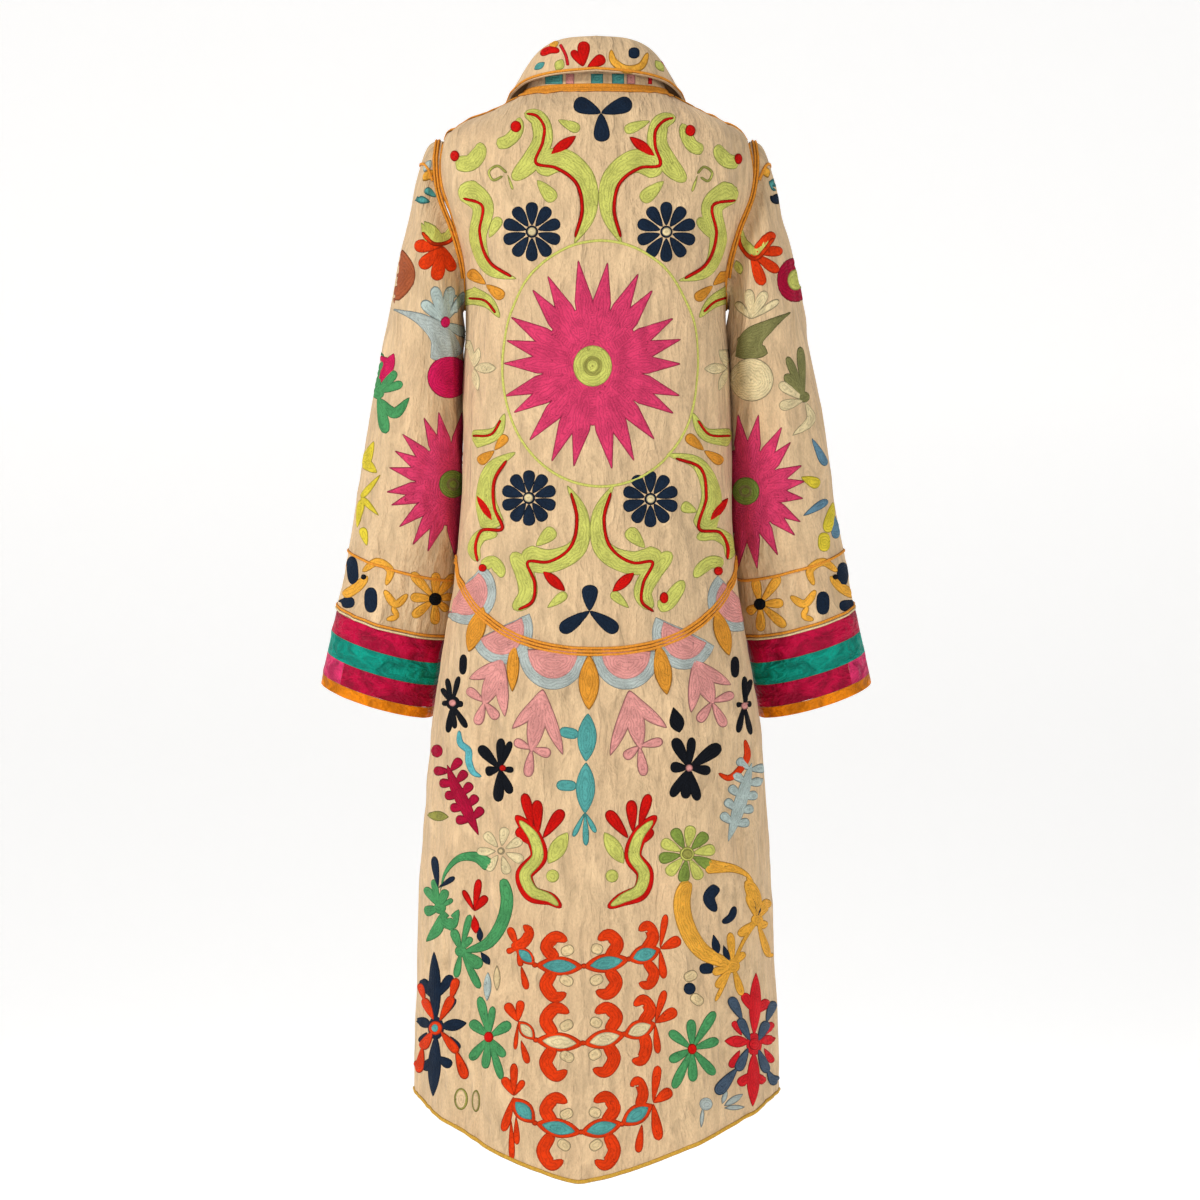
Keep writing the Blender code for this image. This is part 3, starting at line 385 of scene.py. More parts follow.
class Surface:
    """The finished cloth of a chart, on a fine net that is read between its nodes."""

    def __init__(self, chart, step_across, step_along, folds=None, puckers=()):
        self.chart = chart
        self.acrosses = np.arange(chart.arc.min(), chart.arc.max(), step_across)
        count = max(8, round((chart.alongs[-1] - chart.alongs[0]) / step_along))
        self.alongs = np.linspace(chart.alongs[0], chart.alongs[-1], count + 1)
        across, along = np.meshgrid(self.acrosses, self.alongs)
        net = chart.smooth(across, along)
        self.sign = 1.0
        normals = self.normals_of(net)
        i, j = len(self.alongs) // 2, int(np.argmin(np.abs(self.acrosses)))
        if normals[i, j] @ (net[i, j] - chart.middle) < 0:
            self.sign = -1.0
            normals = -normals
        push = np.zeros(across.shape)
        if folds is not None:
            push += folds(across, along)
        for pucker in puckers:
            self.pull(push, *pucker)
        self.net = net + normals * push[..., None]
        self.normals = self.normals_of(self.net)
        thin = (slice(None, None, 3), slice(None, None, 3))
        away = self.net[thin] - np.array(CAMERA_AT)
        facing = (self.normals[thin] * away).sum(axis=2) < FACING * np.linalg.norm(away, axis=2)
        turn = chart.read(chart.angle_table, chart.acrosses, across[thin], along[thin])
        facing &= (turn > SHOWN_TURNS[0]) & (turn < SHOWN_TURNS[1])
        self.shown_places = np.stack([across[thin][facing], along[thin][facing]], axis=1)
        self.shown_pixels = on_photo(self.net[thin][facing])

    def normals_of(self, net):
        n = np.cross(np.gradient(net, axis=0), np.gradient(net, axis=1)) * self.sign
        return n / np.maximum(np.linalg.norm(n, axis=2, keepdims=True), 1e-12)

    def pull(self, push, across, along, half_width, half_length, height, slant):
        """One soft ridge, or a hollow where its height is negative."""
        reach = 2.6 * half_width + abs(slant) * half_length
        cols = slice(*np.searchsorted(self.acrosses, (across - reach, across + reach)))
        rows = slice(*np.searchsorted(self.alongs, (along - half_length, along + half_length)))
        if cols.start == cols.stop or rows.start == rows.stop:
            return
        run = (self.alongs[rows] - along)[:, None]
        offset = self.acrosses[cols][None] - across - slant * run
        fade = (1 - (run / half_length) ** 2) ** 2
        push[rows, cols] += height * np.exp(-((offset / half_width) ** 2)) * fade

    def read(self, values, across, along):
        return between(values, steps_from(self.alongs, along), steps_from(self.acrosses, across))

    def at(self, places, lift=0.0):
        """Points over the cloth, for rows of (across, along)."""
        across, along = np.asarray(places, float).T
        lift = np.broadcast_to(np.asarray(lift, float), across.shape)[:, None]
        return self.read(self.net, across, along) + self.read(self.normals, across, along) * lift

    def seen(self, pixels):
        """The places of the cloth that are seen at pixels of the photo."""
        pixels = np.asarray(pixels, float).reshape(-1, 2)
        gaps = np.linalg.norm(self.shown_pixels[None] - pixels[:, None], axis=2)
        start = self.shown_places[gaps.argmin(axis=1)]
        places, best, least = start.copy(), start.copy(), np.full(len(start), np.inf)
        nudge = 0.5 * MM
        least_spread = 2e4  # keeps the moves small where the cloth is seen from its edge
        for _ in range(7):
            here = on_photo(self.at(places))
            off = np.linalg.norm(pixels - here, axis=1)
            off[np.linalg.norm(places - start, axis=1) > REACH_FROM_SHOWN] = np.inf
            best = np.where((off < least)[:, None], places, best)
            least = np.minimum(off, least)
            by_across = (on_photo(self.at(places + (nudge, 0))) - here) / nudge
            by_along = (on_photo(self.at(places + (0, nudge))) - here) / nudge
            miss = pixels - here
            spread = by_across[:, 0] * by_along[:, 1] - by_across[:, 1] * by_along[:, 0]
            weak = np.abs(spread) < least_spread
            spread = np.where(weak, least_spread * np.where(spread < 0, -1, 1), spread)
            move = np.stack(
                [
                    miss[:, 0] * by_along[:, 1] - miss[:, 1] * by_along[:, 0],
                    miss[:, 1] * by_across[:, 0] - miss[:, 0] * by_across[:, 1],
                ],
                axis=1,
            )
            places = places + np.clip(move / spread[:, None], -8 * MM, 8 * MM)
        return best


def random_puckers(seed, count, area, half_width, half_length, height, slant=0.12):
    """Small creases that the quilting pulls into the cloth, along it. Each size is a (least, most) pair."""
    chance = np.random.RandomState(seed)
    made = []
    for _ in range(count):
        across, along = chance.uniform(*area[0]), chance.uniform(*area[1])
        size = chance.uniform(*half_width)
        reach = chance.uniform(*half_length)
        rise = chance.uniform(*height) * (1 if chance.uniform() < 0.5 else -1)
        made.append((across, along, size, reach, rise, chance.normal() * slant))
    return made


def inside(points, outline):
    """Which points lie inside a closed outline."""
    x, y = points[:, 0, None], points[:, 1, None]
    a, b = outline, np.roll(outline, -1, axis=0)
    with np.errstate(divide="ignore", invalid="ignore"):
        cut = a[:, 0] + (y - a[:, 1]) * (b[:, 0] - a[:, 0]) / (b[:, 1] - a[:, 1])
    crossed = ((a[:, 1] > y) != (b[:, 1] > y)) & (x < cut)
    return crossed.sum(axis=1) % 2 == 1


def distance(points, outline):
    """How far each point is from a closed outline."""
    a, b = outline, np.roll(outline, -1, axis=0)
    run = b - a
    found = []
    for chunk in np.array_split(points, max(1, len(points) * len(outline) // 400000)):
        from_a = chunk[:, None, :] - a[None]
        share = np.clip((from_a * run).sum(axis=2) / np.maximum((run * run).sum(axis=1), 1e-18), 0, 1)
        found.append(np.linalg.norm(from_a - share[..., None] * run, axis=2).min(axis=1))
    return np.concatenate(found)


def inset(outline, by):
    """A closed outline moved inwards. The outline runs anticlockwise."""
    before = outline - np.roll(outline, 1, axis=0)
    after = np.roll(outline, -1, axis=0) - outline
    normals = []
    for run in (before, after):
        run = run / np.maximum(np.linalg.norm(run, axis=1, keepdims=True), 1e-9)
        normals.append(np.stack([-run[:, 1], run[:, 0]], axis=1))
    mean = normals[0] + normals[1]
    mean /= np.maximum(np.linalg.norm(mean, axis=1, keepdims=True), 1e-9)
    reach = np.maximum((mean * normals[0]).sum(axis=1, keepdims=True), 0.5)
    return outline + mean * by / reach


def anticlockwise(outline):
    x, y = outline.T
    area = (x * np.roll(y, -1) - np.roll(x, -1) * y).sum()
    return outline if area > 0 else outline[::-1]


def evenly(line, step, closed=False):
    """A line with points about a step apart, its own corners kept."""
    ends = np.roll(line, -1, axis=0) if closed else line[1:]
    out = []
    for a, b in zip(line, ends):
        count = max(1, math.ceil(np.linalg.norm(b - a) / step))
        out += [a + (b - a) * k / count for k in range(count)]
    if not closed:
        out.append(line[-1])
    return np.array(out)


def triangulate(points, edges, squeeze=1.0):
    """Triangles of the plane inside the edges, longer along the cloth where squeeze is below 1."""
    scale = np.array([1, squeeze]) / MM
    found = delaunay_2d_cdt([Vector(p) for p in points * scale], edges, [], 1, 1e-4)
    out = np.array([tuple(p) for p in found[0]]).reshape(-1, 2) / scale
    place = {old: new for new, olds in enumerate(found[3]) for old in olds}
    return out, [tuple(face) for face in found[2]], place


def ring_edges(start, count):
    return [(start + i, start + (i + 1) % count) for i in range(count)]


def net_inside(outline, across_step, along_step, clear):
    """Staggered rows of points inside an outline, none nearer to it than clear."""
    low, high = outline.min(axis=0), outline.max(axis=0)
    rows = []
    for k, y in enumerate(np.arange(low[1] + along_step / 2, high[1], along_step)):
        xs = np.arange(low[0] + across_step / 2 * (1 + k % 2), high[0], across_step)
        rows.append(np.stack([xs, np.full(len(xs), y)], axis=1))
    grid = np.concatenate(rows) if rows else np.zeros((0, 2))
    grid = grid[inside(grid, outline)]
    return grid[distance(grid, outline) > clear] if len(grid) else grid


def new_mesh(name, points, faces, places, edge, material_index, materials):
    """An object whose faces know their place on the cloth, and its points how far they are from an edge."""
    mesh = bpy.data.meshes.new(name)
    mesh.from_pydata([tuple(p) for p in points], [], faces)
    corners = np.zeros(len(mesh.loops), np.int32)
    mesh.loops.foreach_get("vertex_index", corners)
    mesh.uv_layers.new(name="cloth").data.foreach_set("uv", places[corners].astype(np.float32).ravel())
    mesh.attributes.new("edge", "FLOAT", "POINT").data.foreach_set("value", edge.astype(np.float32))
    for material in materials:
        mesh.materials.append(material)
    mesh.polygons.foreach_set("material_index", np.asarray(material_index, np.int32))
    mesh.shade_smooth()
    made = bpy.data.objects.new(name, mesh)
    bpy.context.scene.collection.objects.link(made)
    return made


FAR_FROM_EDGE = 50 * MM  # what every point of a plain panel says of its distance from an edge


def surface_area(points, faces):
    a, b, c = (points[np.array(faces)[:, k]] for k in range(3))
    return float(np.linalg.norm(np.cross(b - a, c - a), axis=1).sum() / 2)


def run_along(surface, across, first, last):
    """How long the cloth is between two depths."""
    along = np.linspace(first, last, 200)
    line = surface.at(np.stack([np.full(200, across), along], axis=1))
    return float(np.linalg.norm(np.diff(line, axis=0), axis=1).sum())


def panel(name, surface, outline, material, slot, steps):
    """A cut piece of cloth, as a thin shell with its edges closed."""
    outline = anticlockwise(inset(anticlockwise(outline), SEAM / 2))
    outline = evenly(outline, 1.3 * steps[0], closed=True)
    grid = net_inside(outline, *steps, 0.5 * min(steps))
    count = len(outline)
    flat, faces, at = triangulate(np.concatenate([outline, grid]), ring_edges(0, count), steps[0] / steps[1])
    outer = surface.at(flat)
    under = surface.at(flat, -CLOTH)
    turn = np.cross(outer[faces[0][1]] - outer[faces[0][0]], outer[faces[0][2]] - outer[faces[0][0]])
    if turn @ surface.read(surface.normals, *flat[faces[0][0]][:, None])[0] < 0:
        faces = [face[::-1] for face in faces]
    n = len(flat)
    walls = []
    for i in range(count):
        a, b = at[i], at[(i + 1) % count]
        walls.append((a, a + n, b + n, b))
    both = faces + [tuple(k + n for k in reversed(face)) for face in faces]
    index = [0] * len(faces) + [1] * (len(faces) + len(walls))
    points = np.concatenate([outer, under])
    places = np.concatenate([flat, flat])
    edge = np.full(len(points), FAR_FROM_EDGE)
    made = new_mesh("cloth_" + name, points, both + walls, places, edge, index, [material, backing()])
    made.data.set_sharp_from_angle(angle=math.radians(60))
    area = surface_area(outer, faces)
    low, high = flat.min(axis=0), flat.max(axis=0)
    width = float(high[0] - low[0])
    length = max(run_along(surface, (low[0] + high[0]) / 2, low[1], high[1]), area / width)
    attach(made, "root")
    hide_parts(name)


def yoke_down(angle):
    """Depth of the curved seam across the back."""
    return YOKE_SIDE + (YOKE_CENTRE - YOKE_SIDE) * np.abs(np.cos(angle)) ** 1.3


def hem_down(angle):
    """Depth of the hem. At the back it hangs lowest a little to the left, and rises to the sides."""
    front = HEM_FRONT_DROP * np.abs(np.cos(angle)) ** 2.7
    share = np.sign(np.sin(angle)) * np.abs(np.sin(angle)) ** 0.91
    reach = np.where(share > HEM_LOWEST, 1 - HEM_LOWEST, 1 + HEM_LOWEST)
    back = HEM_BACK_DROP * (1 - (np.abs(share - HEM_LOWEST) / reach) ** 1.35)
    return HEM_SIDE + np.where(np.cos(angle) > 0, np.maximum(back, 0), front)


def polyline(*parts):
    """One closed line from several runs, each without its last point."""
    return np.concatenate([part[:-1] for part in parts])


def on_body(chart, angle, down):
    angle, down = np.broadcast_arrays(np.asarray(angle, float), np.asarray(down, float))
    return np.stack([chart.across(angle, down), down], axis=1)


def front_line(chart, first, last, count):
    """The right front's edge, between two depths."""
    down = np.linspace(first, last, count)
    gap = FRONT_GAP_TOP + FRONT_GAP_SPREAD * np.clip(down / HEM_SIDE, 0, 1)
    return np.stack([chart.across(math.pi, down) - gap, down], axis=1)


def hole_run(chart, first, last, count):
    """A stretch of the right armhole's edge on the body."""
    angle, down = armhole(np.radians(np.linspace(first, last, count)))
    return on_body(chart, angle, down)


HOLE_START = math.degrees(math.asin((SIDE_ANGLE - SHOULDER_ANGLE) / HOLE_TURN))
FALL_END = 0.985 * COLLAR_FALL


def mirrored(line):
    return line[::-1] * (-1, 1)


def cap_along(angle):
    """How far down the sleeve the cap's seam lies."""
    return CAP_REACH * np.clip(1 - (angle / CAP_ANGLE) ** 2, 0, 1)


# Applique
OUTLINE_STEP = 2.2 * MM  # an outline is cut into steps of this size
LEAST_STEP = 0.12 * MM  # points of an outline that lie nearer together than this are left out
LOOP_DEPTHS = (0.8 * MM, 1.9 * MM)  # rows of points that follow the edge, where a piece bends down to it
NET_ACROSS, NET_ALONG, NET_CLEAR = 3.4 * MM, 3.0 * MM, 3.0 * MM  # the net inside the rows
RIM = 0.15 * MM  # the edge of a piece of applique is sewn this far into the ground
PUFF = 0.75 * MM  # how far it stands up inside its edge
PUFF_REACH = 1.3 * MM
LAYER = 0.75 * MM  # how much higher a piece lies that is sewn on another one

PHOTO_STEP = 1.1  # millimetres of the coat to a pixel of the photo

FORMS = {  # width along a band, as a share of its widest
    "leaf": lambda t: np.sin(math.pi * t) ** 0.75,
    "ray": lambda t: np.interp(t, (0, 0.3, 0.55, 0.93, 1), (0.25, 0.95, 1.0, 0.22, 0.08)),
    "petal": lambda t: t**0.6 * np.sqrt(np.clip(1 - t**5, 0, 1)) * 1.33,
    "drop": lambda t: np.sin(math.pi * t**1.35) ** 0.8,
    "bean": lambda t: np.clip(1 - np.abs(2 * t - 1) ** 3.2, 0, 1) ** 0.5,
    "comma": lambda t: np.clip(1 - np.abs(2 * t**0.72 - 1) ** 3.4, 0, 1) ** 0.55,
    "scroll": lambda t: t**0.55 * np.clip((1 - t) * 14, 0, 1) ** 0.5,
    "horn": lambda t: (0.06 + 0.94 * t**1.15) * np.clip((1 - t) * 14, 0, 1) ** 0.5,
    "even": lambda t: np.clip(1 - np.abs(2 * t - 1) ** 24, 0, 1) ** 0.5,
}


def band(path, width, form, step):
    """The outline of a leaf, petal or stroke along a smooth path."""
    path = np.asarray(path, float)
    lengths = np.concatenate([[0], np.cumsum(np.linalg.norm(np.diff(path, axis=0), axis=1))])
    samples = max(7, int(lengths[-1] / step) + 2)
    t = 0.5 - 0.5 * np.cos(np.linspace(0, math.pi, samples)) if samples < 24 else np.linspace(0, 1, samples)
    line = np.stack([spline(t * lengths[-1], lengths, path[:, k]) for k in range(2)], axis=1)
    run = np.gradient(line, axis=0)
    run /= np.maximum(np.linalg.norm(run, axis=1, keepdims=True), 1e-9)
    half = FORMS[form](np.clip(t, 0, 1))[:, None] * width / 2
    side = np.stack([-run[:, 1], run[:, 0]], axis=1) * np.maximum(half, 0.15 * step)
    return np.concatenate([(line + side)[1:-1], line[-1:], (line - side)[1:-1][::-1], line[:1]])


def oval(centre, across, along, count=28):
    turn = np.arange(count) * 2 * math.pi / count
    return np.asarray(centre) + np.stack([across * np.cos(turn), along * np.sin(turn)], axis=1)


def ray_tips(centre, wide, tall, count, uneven):
    """The tips of a sunburst's rays, a little uneven in turn and in length as sewn by hand."""
    tips = []
    for k in range(count):
        turn = (k + 0.5 + uneven * math.sin(2.4 * k)) * 2 * math.pi / count
        out = np.array([math.sin(turn), -math.cos(turn)])
        share = 1 - 0.12 * uneven * (1 + math.sin(4.1 * k))
        tips.append(np.asarray(centre) + out * share / math.hypot(out[0] / wide, out[1] / tall))
    return tips


class Applique:
    """Pieces of applique on one surface, gathered into one object.

    Outlines come in pixels of the photo. With a side they come in millimetres across and down the cloth,
    and the side -1 mirrors them.
    """

    def __init__(self, name, surface, side=0):
        self.name, self.surface, self.side = name, surface, side
        self.scale = 1.0 if side else PHOTO_STEP  # millimetres to a unit of the outlines
        self.points, self.places, self.edges, self.faces, self.index = [], [], [], [], []
        self.colours = []
        self.count = 0

    def add(self, outline, colour, layer=0):
        """One piece, from its outline on the cloth."""
        outline = anticlockwise(evenly(np.asarray(outline, float), OUTLINE_STEP, closed=True))
        keep = np.linalg.norm(outline - np.roll(outline, 1, axis=0), axis=1) > LEAST_STEP
        outline = outline[keep]
        if len(outline) < 5:
            return
        count = len(outline)
        parts = [outline]
        for depth in LOOP_DEPTHS:
            loop = inset(outline, depth)
            fits = inside(loop, outline) & (distance(loop, outline) > 0.75 * depth)
            parts.append(loop[fits])
        parts.append(net_inside(outline, NET_ACROSS, NET_ALONG, NET_CLEAR))
        flat, faces, _ = triangulate(np.concatenate(parts), ring_edges(0, count))
        if not faces:
            return
        depth = distance(flat, outline)
        depth[depth < 0.02 * MM] = 0
        lift = layer * LAYER - RIM + (PUFF + RIM) * (1 - np.exp(-depth / PUFF_REACH))
        points = self.surface.at(flat, lift)
        a, b, c = (points[list(faces[0])[k]] for k in range(3))
        normal = self.surface.read(self.surface.normals, *flat[faces[0][0]][:, None])[0]
        if np.cross(b - a, c - a) @ normal < 0:
            faces = [face[::-1] for face in faces]
        if colour not in self.colours:
            self.colours.append(colour)
        self.points.append(points)
        self.places.append(flat)
        self.edges.append(depth)
        self.faces += [tuple(k + self.count for k in face) for face in faces]
        self.index += [self.colours.index(colour)] * len(faces)
        self.count += len(flat)

    def lay(self, outline, colour, layer=0):
        self.add(outline * (self.side, 1) * MM if self.side else self.surface.seen(outline), colour, layer)

    def stroke(self, colour, width, form, path, layer=0):
        """A leaf, petal or line along a path. Its width is in millimetres."""
        self.lay(band(path, width / self.scale, form, 1.8 / self.scale), colour, layer)

    def spot(self, colour, centre, wide, tall, layer=0):
        self.lay(oval(centre, wide / self.scale, tall / self.scale), colour, layer)

    def finish(self):
        points, places, edges = (np.concatenate(parts) for parts in (self.points, self.places, self.edges))
        materials = [stitched(colour) for colour in self.colours]
        made = new_mesh(self.name, points, self.faces, places, edges, self.index, materials)
        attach(made, "root")


# The kinds of piping: width and height in millimetres, colour, slot, and how many ribs lie side by side
PIPINGS = {
    "yoke": (10.5, 2.2, "piping", "orange", 3),
    "neck": (6.4, 1.9, "piping", "orange", 2),
    "shoulder": (6.8, 2.0, "piping", "orange", 2),
    "armhole": (6.4, 2.4, "piping", "orange", 2),
    "armhole_seam": (6.8, 2.4, "piping", "orange", 1),
    "cap": (3.8, 1.8, "piping", "orange", 1),
    "band": (3.6, 1.8, "piping", "orange", 1),
    "cuff": (3.4, 1.8, "piping", "orange", 1),
    "cuff_cream": (3.0, 1.7, "cream", "gold", 1),
    "stand": (7.0, 1.5, "piping", "orange", 1),
    "collar": (3.6, 1.5, "piping", "orange", 1),
    "binding": (4.6, 1.5, "hem", "gold", 1),
    "ring": (3.4, 0.8, "lime", None, 1),
}
PIPING_STEP = 4 * MM
PIPING_FOOT = 0.3 * MM  # a piping's edges lie this far in the cloth


def cord(name, kind, surface, line, node=None, closed=False):
    """A piping along a line of the surface. It takes the place of its solid, where it has one."""
    width, height, colour, slot, ribs = PIPINGS[kind]
    width, height = width * MM, height * MM
    line = evenly(np.asarray(line, float), PIPING_STEP, closed=closed)
    points = surface.at(line)
    normals = surface.read(surface.normals, *line.T)
    if closed:
        tangents = np.roll(points, -1, axis=0) - np.roll(points, 1, axis=0)
    else:
        tangents = np.gradient(points, axis=0)
    sides = np.cross(normals, tangents)
    sides /= np.maximum(np.linalg.norm(sides, axis=1, keepdims=True), 1e-9)
    if (sides * (surface.at(line + (0.5 * MM, 0)) - points)).sum() < 0:
        sides = -sides
    shares = np.linspace(-1, 1, 6 * ribs + 1)
    wave = np.abs(np.sin((shares + 1) / 2 * ribs * math.pi))
    ups = (PIPING_FOOT + height) * (0.35 * (1 - shares**8) + 0.65 * wave**0.7) - PIPING_FOOT
    grid = points[:, None] + sides[:, None] * (shares * width / 2)[:, None]
    grid = grid + normals[:, None] * ups[:, None]
    count, across = len(line), len(shares)
    faces = []
    for i in range(count if closed else count - 1):
        j = (i + 1) % count
        for k in range(across - 1):
            faces.append((i * across + k, i * across + k + 1, j * across + k + 1, j * across + k))
    rib = width / ribs
    groove = np.abs((((shares + 1) / 2 * ribs + 0.5) % 1) - 0.5) * rib
    edge = np.tile(groove, count)
    run = np.concatenate([[0], np.cumsum(np.linalg.norm(np.diff(points, axis=0), axis=1))])
    places = np.stack([np.tile(shares * width / 2, count), np.repeat(run, across)], axis=1)
    flat = grid.reshape(-1, 3)
    a, b, c = (flat[faces[0][k]] for k in range(3))
    if np.cross(b - a, c - a) @ normals[0] < 0:
        faces = [face[::-1] for face in faces]
    made = new_mesh(name, flat, faces, places, edge, [0] * len(faces), [corded(colour)])
    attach(made, "root")
    if node:
        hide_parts(node)


# Colours of the cloths and threads, as red, green and blue out of 255
COLOURS = {
    "sand": (228, 196, 154),
    "pink": (214, 60, 104),
    "lime": (200, 202, 102),
    "olive": (150, 148, 72),
    "navy": (20, 36, 56),
    "black": (12, 16, 24),
    "red": (204, 12, 4),
    "orange_red": (222, 58, 8),
    "crimson": (216, 30, 40),
    "blush": (224, 152, 146),
    "mist": (178, 188, 184),
    "amber": (222, 149, 50),
    "gold": (240, 172, 62),
    "turquoise": (84, 162, 158),
    "sky": (92, 176, 184),
    "magenta": (168, 6, 52),
    "cream": (228, 208, 162),
    "green": (74, 150, 92),
    "slate": (70, 88, 108),
    "steel": (96, 134, 156),
    "ice": (178, 194, 190),
    # brown is also the dark of the painted shade in the pipings' grooves
    "brown": (165, 86, 52),
    "yellow": (222, 200, 58),
    "moss": (130, 128, 78),
    "leaf_green": (128, 150, 66),
    "rose": (208, 24, 88),
    "peach": (226, 190, 148),
    "cuff_magenta": (188, 2, 60),
    "cuff_teal": (0, 152, 132),
    "cuff_pink": (226, 50, 108),
    "binding": (236, 134, 4),
    "piping": (228, 150, 52),
    "hem": (206, 160, 62),
    "pale": (229, 202, 154),
}


def linear(colour, scale=1.0):
    """A colour for a shader, from its name."""
    made = []
    for value in COLOURS[colour]:
        share = value / 255
        share = share / 12.92 if share <= 0.04045 else ((share + 0.055) / 1.055) ** 2.4
        made.append(min(1.0, share * scale))
    return (*made, 1)


class Shader:
    """A material whose nodes are added one by one."""

    def __init__(self, name):
        self.material = bpy.data.materials.new(name)
        self.material.use_nodes = True
        self.tree = self.material.node_tree
        self.main = self.tree.nodes["Principled BSDF"]
        self.main.inputs["Specular IOR Level"].default_value = 0.12

    def feed(self, socket, value):
        if isinstance(value, bpy.types.NodeSocket):
            self.tree.links.new(value, socket)
        else:
            socket.default_value = value

    def math(self, operation, a, b=0.0):
        node = self.tree.nodes.new("ShaderNodeMath")
        node.operation = operation
        self.feed(node.inputs[0], a)
        self.feed(node.inputs[1], b)
        return node.outputs[0]

    def cloth_place(self, across=1.0, along=1.0):
        """The place on the cloth, in metres, with each direction scaled."""
        place = self.tree.nodes.new("ShaderNodeUVMap")
        place.uv_map = "cloth"
        scaled = self.tree.nodes.new("ShaderNodeMapping")
        scaled.inputs["Scale"].default_value = (across, along, 1)
        self.tree.links.new(place.outputs[0], scaled.inputs["Vector"])
        return scaled.outputs[0]

    def noise(self, vector, scale, detail=2.0, roughness=0.5, distortion=0.0):
        node = self.tree.nodes.new("ShaderNodeTexNoise")
        self.tree.links.new(vector, node.inputs["Vector"])
        names = ("Scale", "Detail", "Roughness", "Distortion")
        for name, value in zip(names, (scale, detail, roughness, distortion)):
            node.inputs[name].default_value = value
        return node.outputs["Fac"]

    def remap(self, value, low, high, to_low=0.0, to_high=1.0):
        node = self.tree.nodes.new("ShaderNodeMapRange")
        node.interpolation_type = "SMOOTHSTEP"
        self.feed(node.inputs["Value"], value)
        names = ("From Min", "From Max", "To Min", "To Max")
        for name, number in zip(names, (low, high, to_low, to_high)):
            node.inputs[name].default_value = number
        return node.outputs[0]

    def edge(self):
        node = self.tree.nodes.new("ShaderNodeAttribute")
        node.attribute_name = "edge"
        return node.outputs["Fac"]

    def mix(self, share, a, b):
        node = self.tree.nodes.new("ShaderNodeMix")
        node.data_type = "RGBA"
        self.feed(node.inputs["Factor"], share)
        self.feed(node.inputs["A"], a)
        self.feed(node.inputs["B"], b)
        return node.outputs["Result"]

    def bump(self, height, strength, distance):
        node = self.tree.nodes.new("ShaderNodeBump")
        node.inputs["Strength"].default_value = strength
        node.inputs["Distance"].default_value = distance
        self.tree.links.new(height, node.inputs["Height"])
        self.tree.links.new(node.outputs[0], self.main.inputs["Normal"])

    def finish(self, colour, roughness, sheen=0.0, sheen_roughness=0.5):
        self.feed(self.main.inputs["Base Color"], colour)
        self.feed(self.main.inputs["Roughness"], roughness)
        self.main.inputs["Sheen Weight"].default_value = sheen
        self.main.inputs["Sheen Roughness"].default_value = sheen_roughness
        return self.material


MADE = {}


def kept(key, make):
    if key not in MADE:
        MADE[key] = make()
    return MADE[key]


def ground():
    """The quilted cotton: warm beige, with soft creases along the cloth and darker slubs. Its colour is
    darker in the hollows of the creases and the quilting and lighter on their tops: painted shade and painted
    highlight.
    """

    def make():
        s = Shader("sand_cotton")
        streaks = s.noise(s.cloth_place(1, 0.16), 95, 3, 0.55)
        patches = s.noise(s.cloth_place(), 14, 2, 0.5)
        grain = s.noise(s.cloth_place(1, 0.5), 620, 2, 0.6)
        crinkle = s.noise(s.cloth_place(1, 0.22), 120, 4, 0.6, 0.6)
        quilt = s.noise(s.cloth_place(1, 0.45), 42, 3, 0.6, 0.9)
        tone = s.mix(s.remap(streaks, 0.32, 0.68), linear("sand", 0.86), linear("sand", 1.05))
        tone = s.mix(s.remap(patches, 0.35, 0.7, 0, 0.5), tone, linear("peach", 1.0))
        # painted shade where the crinkles sink and painted highlight where they rise, following the bump
        tone = s.mix(s.remap(crinkle, 0.36, 0.5, 0.34, 0.0), tone, linear("sand", 0.56))
        tone = s.mix(s.remap(crinkle, 0.56, 0.7, 0.0, 0.4), tone, linear("sand", 1.25))
        tone = s.mix(s.remap(grain, 0.35, 0.62, 0.3, 0.0), tone, linear("sand", 0.6))
        # painted shade in the quilting's hollows and painted highlight on its tops, following the bump
        tone = s.mix(s.remap(quilt, 0.3, 0.48, 0.3, 0.0), tone, linear("sand", 0.5))
        tone = s.mix(s.remap(quilt, 0.54, 0.68, 0.0, 0.35), tone, linear("sand", 1.3))
        height = s.math("ADD", s.math("MULTIPLY", crinkle, 0.5), quilt)
        height = s.math("ADD", height, s.math("MULTIPLY", grain, 0.07))
        s.bump(height, 1.0, 9 * MM)
        return s.finish(tone, 0.88, 0.1, 0.6)

    return kept("ground", make)


def backing():
    """The plain inner side."""

    def make():
        s = Shader("backing_cotton")
        streaks = s.noise(s.cloth_place(1, 0.3), 60, 2, 0.5)
        tone = s.mix(s.remap(streaks, 0.35, 0.65), linear("sand", 0.6), linear("sand", 0.72))
        s.bump(s.noise(s.cloth_place(), 500, 2, 0.5), 0.3, 0.4 * MM)
        return s.finish(tone, 0.92, 0.2)

    return kept("backing", make)


STITCH_ROW = 2.9 * MM  # from one row of chain stitch to the next


